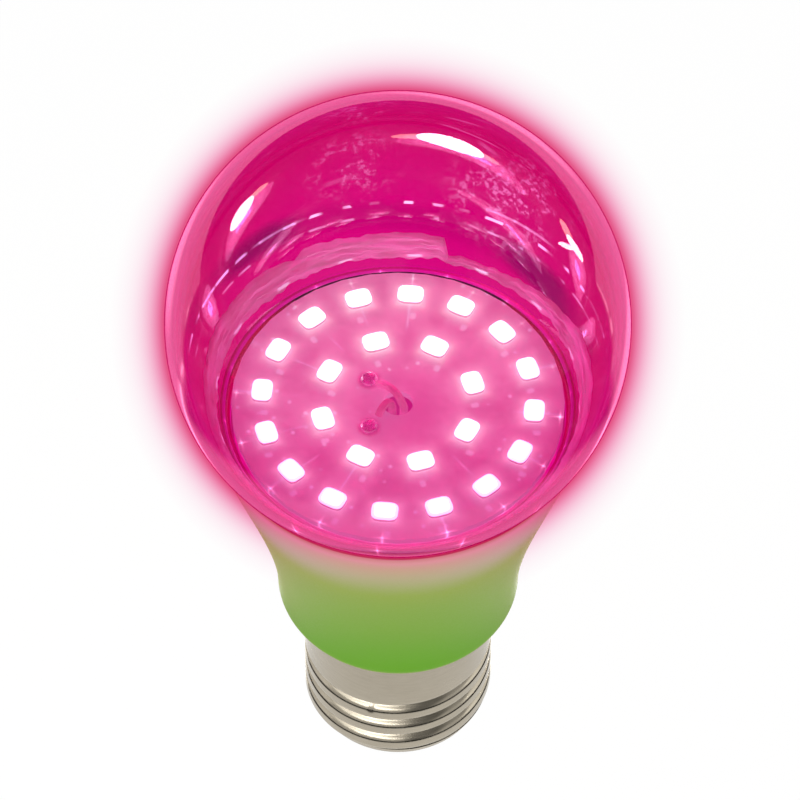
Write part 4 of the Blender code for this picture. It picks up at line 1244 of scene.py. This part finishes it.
def rounded(corners, radius, count=5):
    """A profile with each inner corner replaced by a small curve: points along the quadratic
    Bezier from one side of the corner to the other."""
    corners = np.asarray(corners, dtype=float)
    rows = [corners[:1]]
    for before, here, after in zip(corners, corners[1:], corners[2:]):
        sides = [before - here, after - here]
        lengths = [max(np.linalg.norm(side), 1e-9) for side in sides]
        first, last = (here + side * min(radius, 0.45 * size) / size for side, size in zip(sides, lengths))
        t = np.linspace(0, 1, count)[:, None]
        rows.append((1 - t) ** 2 * first + 2 * t * (1 - t) * here + t**2 * last)
    return np.vstack([*rows, corners[-1:]])


INSULATOR = make_worked_finish("black_glass", (0.012, 0.012, 0.014), (0.03, 0.03, 0.033), 0.22, relief=0.1)
CONTACT = make_worked_finish("plated_brass", (0.58, 0.50, 0.33), (0.72, 0.65, 0.48), 0.28, 1.0, 300.0)
cone_low, cone_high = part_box("cap_insulator")
cone_end, plug = 3.0 * MM, 9.3 * MM
cone_top = cone_high.z - cone_low.z
cone = [
    (1.7 * MM, cone_top), ((cone_high.x - cone_low.x) / 2, cone_top),
    ((cone_high.x - cone_low.x) / 2, cone_top - 1.0 * MM), (plug, cone_top - 1.0 * MM),
    (plug, cone_end), (5.4 * MM, 0.0), (1.7 * MM, 0.0),
]
points, faces = turned(rounded(cone, 0.35 * MM) + (0.0, cone_low.z), 128)
add_piece("insulator_glass", points, faces, INSULATOR, ["cap_insulator"])
tip_low, tip_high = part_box("centre_contact")
button = [
    (0.0, tip_high.z), (1.4 * MM, tip_high.z), (1.4 * MM, 1.0 * MM), (3.6 * MM, 1.0 * MM),
    (4.6 * MM, 0.75 * MM), (4.6 * MM, 0.45 * MM), (3.6 * MM, 0.0), (0.0, 0.0),
]
points, faces = turned(rounded(button, 0.3 * MM), 96)
add_piece("contact_button", points, faces, CONTACT, ["centre_contact"])
print("end of the cap, mm:", round(cone_top / MM, 2), "insulator over", round(tip_low.z / MM, 2))

# %% [markdown]
# ## The hidden works
#
# The cup and the two leads show a little through the globe and glow with its light. The rest of
# the driver shows only from odd angles. One table gives each its recipe: dark tone, pale tone,
# gloss, then what else differs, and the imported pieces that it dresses.

# %% Hidden works
BLACK, NEAR_BLACK = (0.012, 0.012, 0.014), (0.03, 0.03, 0.032)
WORKS = [
    ("drawn_aluminium", (0.62, 0.60, 0.61), (0.78, 0.77, 0.78), 0.35,
     {"metal": 1.0, "light": (0.6, 0.01, 0.42)}, "heat_sink_cup"),
    ("pale_sleeve", (0.60, 0.50, 0.52), (0.74, 0.66, 0.68), 0.45,
     {"light": (0.42, 0.9, 0.34)}, "board_lead_positive"),
    ("grey_sleeve", (0.50, 0.40, 0.42), (0.62, 0.52, 0.54), 0.45,
     {"light": (0.36, 0.5, 0.26)}, "board_lead_negative"),
    ("black_sleeve_inside", (0.02, 0.02, 0.02), (0.05, 0.05, 0.05), 0.45, {}, "neutral_wire"),
    ("bright_solder", (0.50, 0.50, 0.50), (0.72, 0.72, 0.72), 0.25,
     {"metal": 1.0, "coarse": 900.0, "light": (0.4, 0.5, 0.3)},
     "solder_joint_positive solder_joint_negative"),
    ("paper_laminate", (0.55, 0.42, 0.22), (0.70, 0.57, 0.34), 0.55, {"coarse": 350.0}, "driver_board"),
    ("shrunk_sleeve", (0.02, 0.03, 0.09), (0.05, 0.06, 0.14), 0.3, {}, "input_capacitor output_capacitor"),
    ("dipped_resin", (0.42, 0.05, 0.04), (0.58, 0.10, 0.07), 0.25, {}, "film_capacitor"),
    ("sintered_ferrite", (0.03, 0.03, 0.03), (0.08, 0.08, 0.08), 0.6, {"relief": 0.4}, "inductor_core"),
    ("enamelled_copper", (0.55, 0.20, 0.08), (0.80, 0.36, 0.16), 0.3,
     {"metal": 1.0, "fine": 1500.0, "relief": 0.6}, "inductor_coil"),
    ("moulded_epoxy", BLACK, NEAR_BLACK, 0.6, {},
     "bridge_rectifier driver_chip freewheel_diode sense_resistor bleed_resistor"),
    ("flameproof_coating", (0.08, 0.15, 0.08), (0.13, 0.22, 0.12), 0.6, {}, "fuse_resistor"),
]
for name, dark, pale, rough, rest, nodes in WORKS:
    dress(make_worked_finish(name, dark, pale, rough, **rest), *nodes.split())
print("finishes:", len(bpy.data.materials))

# %% [markdown]
# ## The glow round the globe
#
# In the photograph a pink glow spreads a few millimetres past the globe's edge. On a white ground
# no added light could show, so the glow here is faintly dyed air: a hollow ball of it round the
# globe, thinning as it goes out. A ray that only grazes the globe passes through much of it, one
# that hits the globe passes through little, and the ground far from the bulb stays white.

# %% Glow
GLOW_RADIUS = GLOBE_RADIUS + 6.8 * MM


def make_glow():
    """Air that takes green and some blue. Its density is 150 x exp(-depth / 1.5 mm), where depth is
    the distance outside the globe."""
    finish = bpy.data.materials.new("dyed_air")
    finish.use_nodes = True
    finish.cycles.volume_step_rate = 0.8
    tree = finish.node_tree
    tree.nodes.clear()
    place = tree.nodes.new("ShaderNodeTexCoord").outputs["Object"]
    away = distance(tree, place, (0, 0, GLOBE_Z))
    depth = sums(tree, "DIVIDE", sums(tree, "SUBTRACT", away, GLOBE_RADIUS), -1.5 * MM)
    thick = times(tree, sums(tree, "EXPONENT", depth), 150.0)
    air = add_node(tree, "VolumeAbsorption", {"Color": (0.89, 0.0, 0.40, 1), "Density": thick})
    tree.links.new(air.outputs[0], add_node(tree, "OutputMaterial").inputs["Volume"])
    points, faces = [], []
    for radius, way in ((GLOW_RADIUS, 1), (GLOBE_RADIUS + 0.04 * MM, -1)):
        ball = np.vstack([[(0, radius)], arc(0, 0, radius, 88, -88, 90), [(0, -radius)]]) + (0.0, GLOBE_Z)
        more, quads = turned(ball, 128)
        faces += [[corner + len(points) for corner in face][::way] for face in quads]
        points += more.tolist()
    stage_piece("glow", points, faces, finish)


make_glow()
print("glow reaches, mm:", round(GLOW_RADIUS / MM, 1))
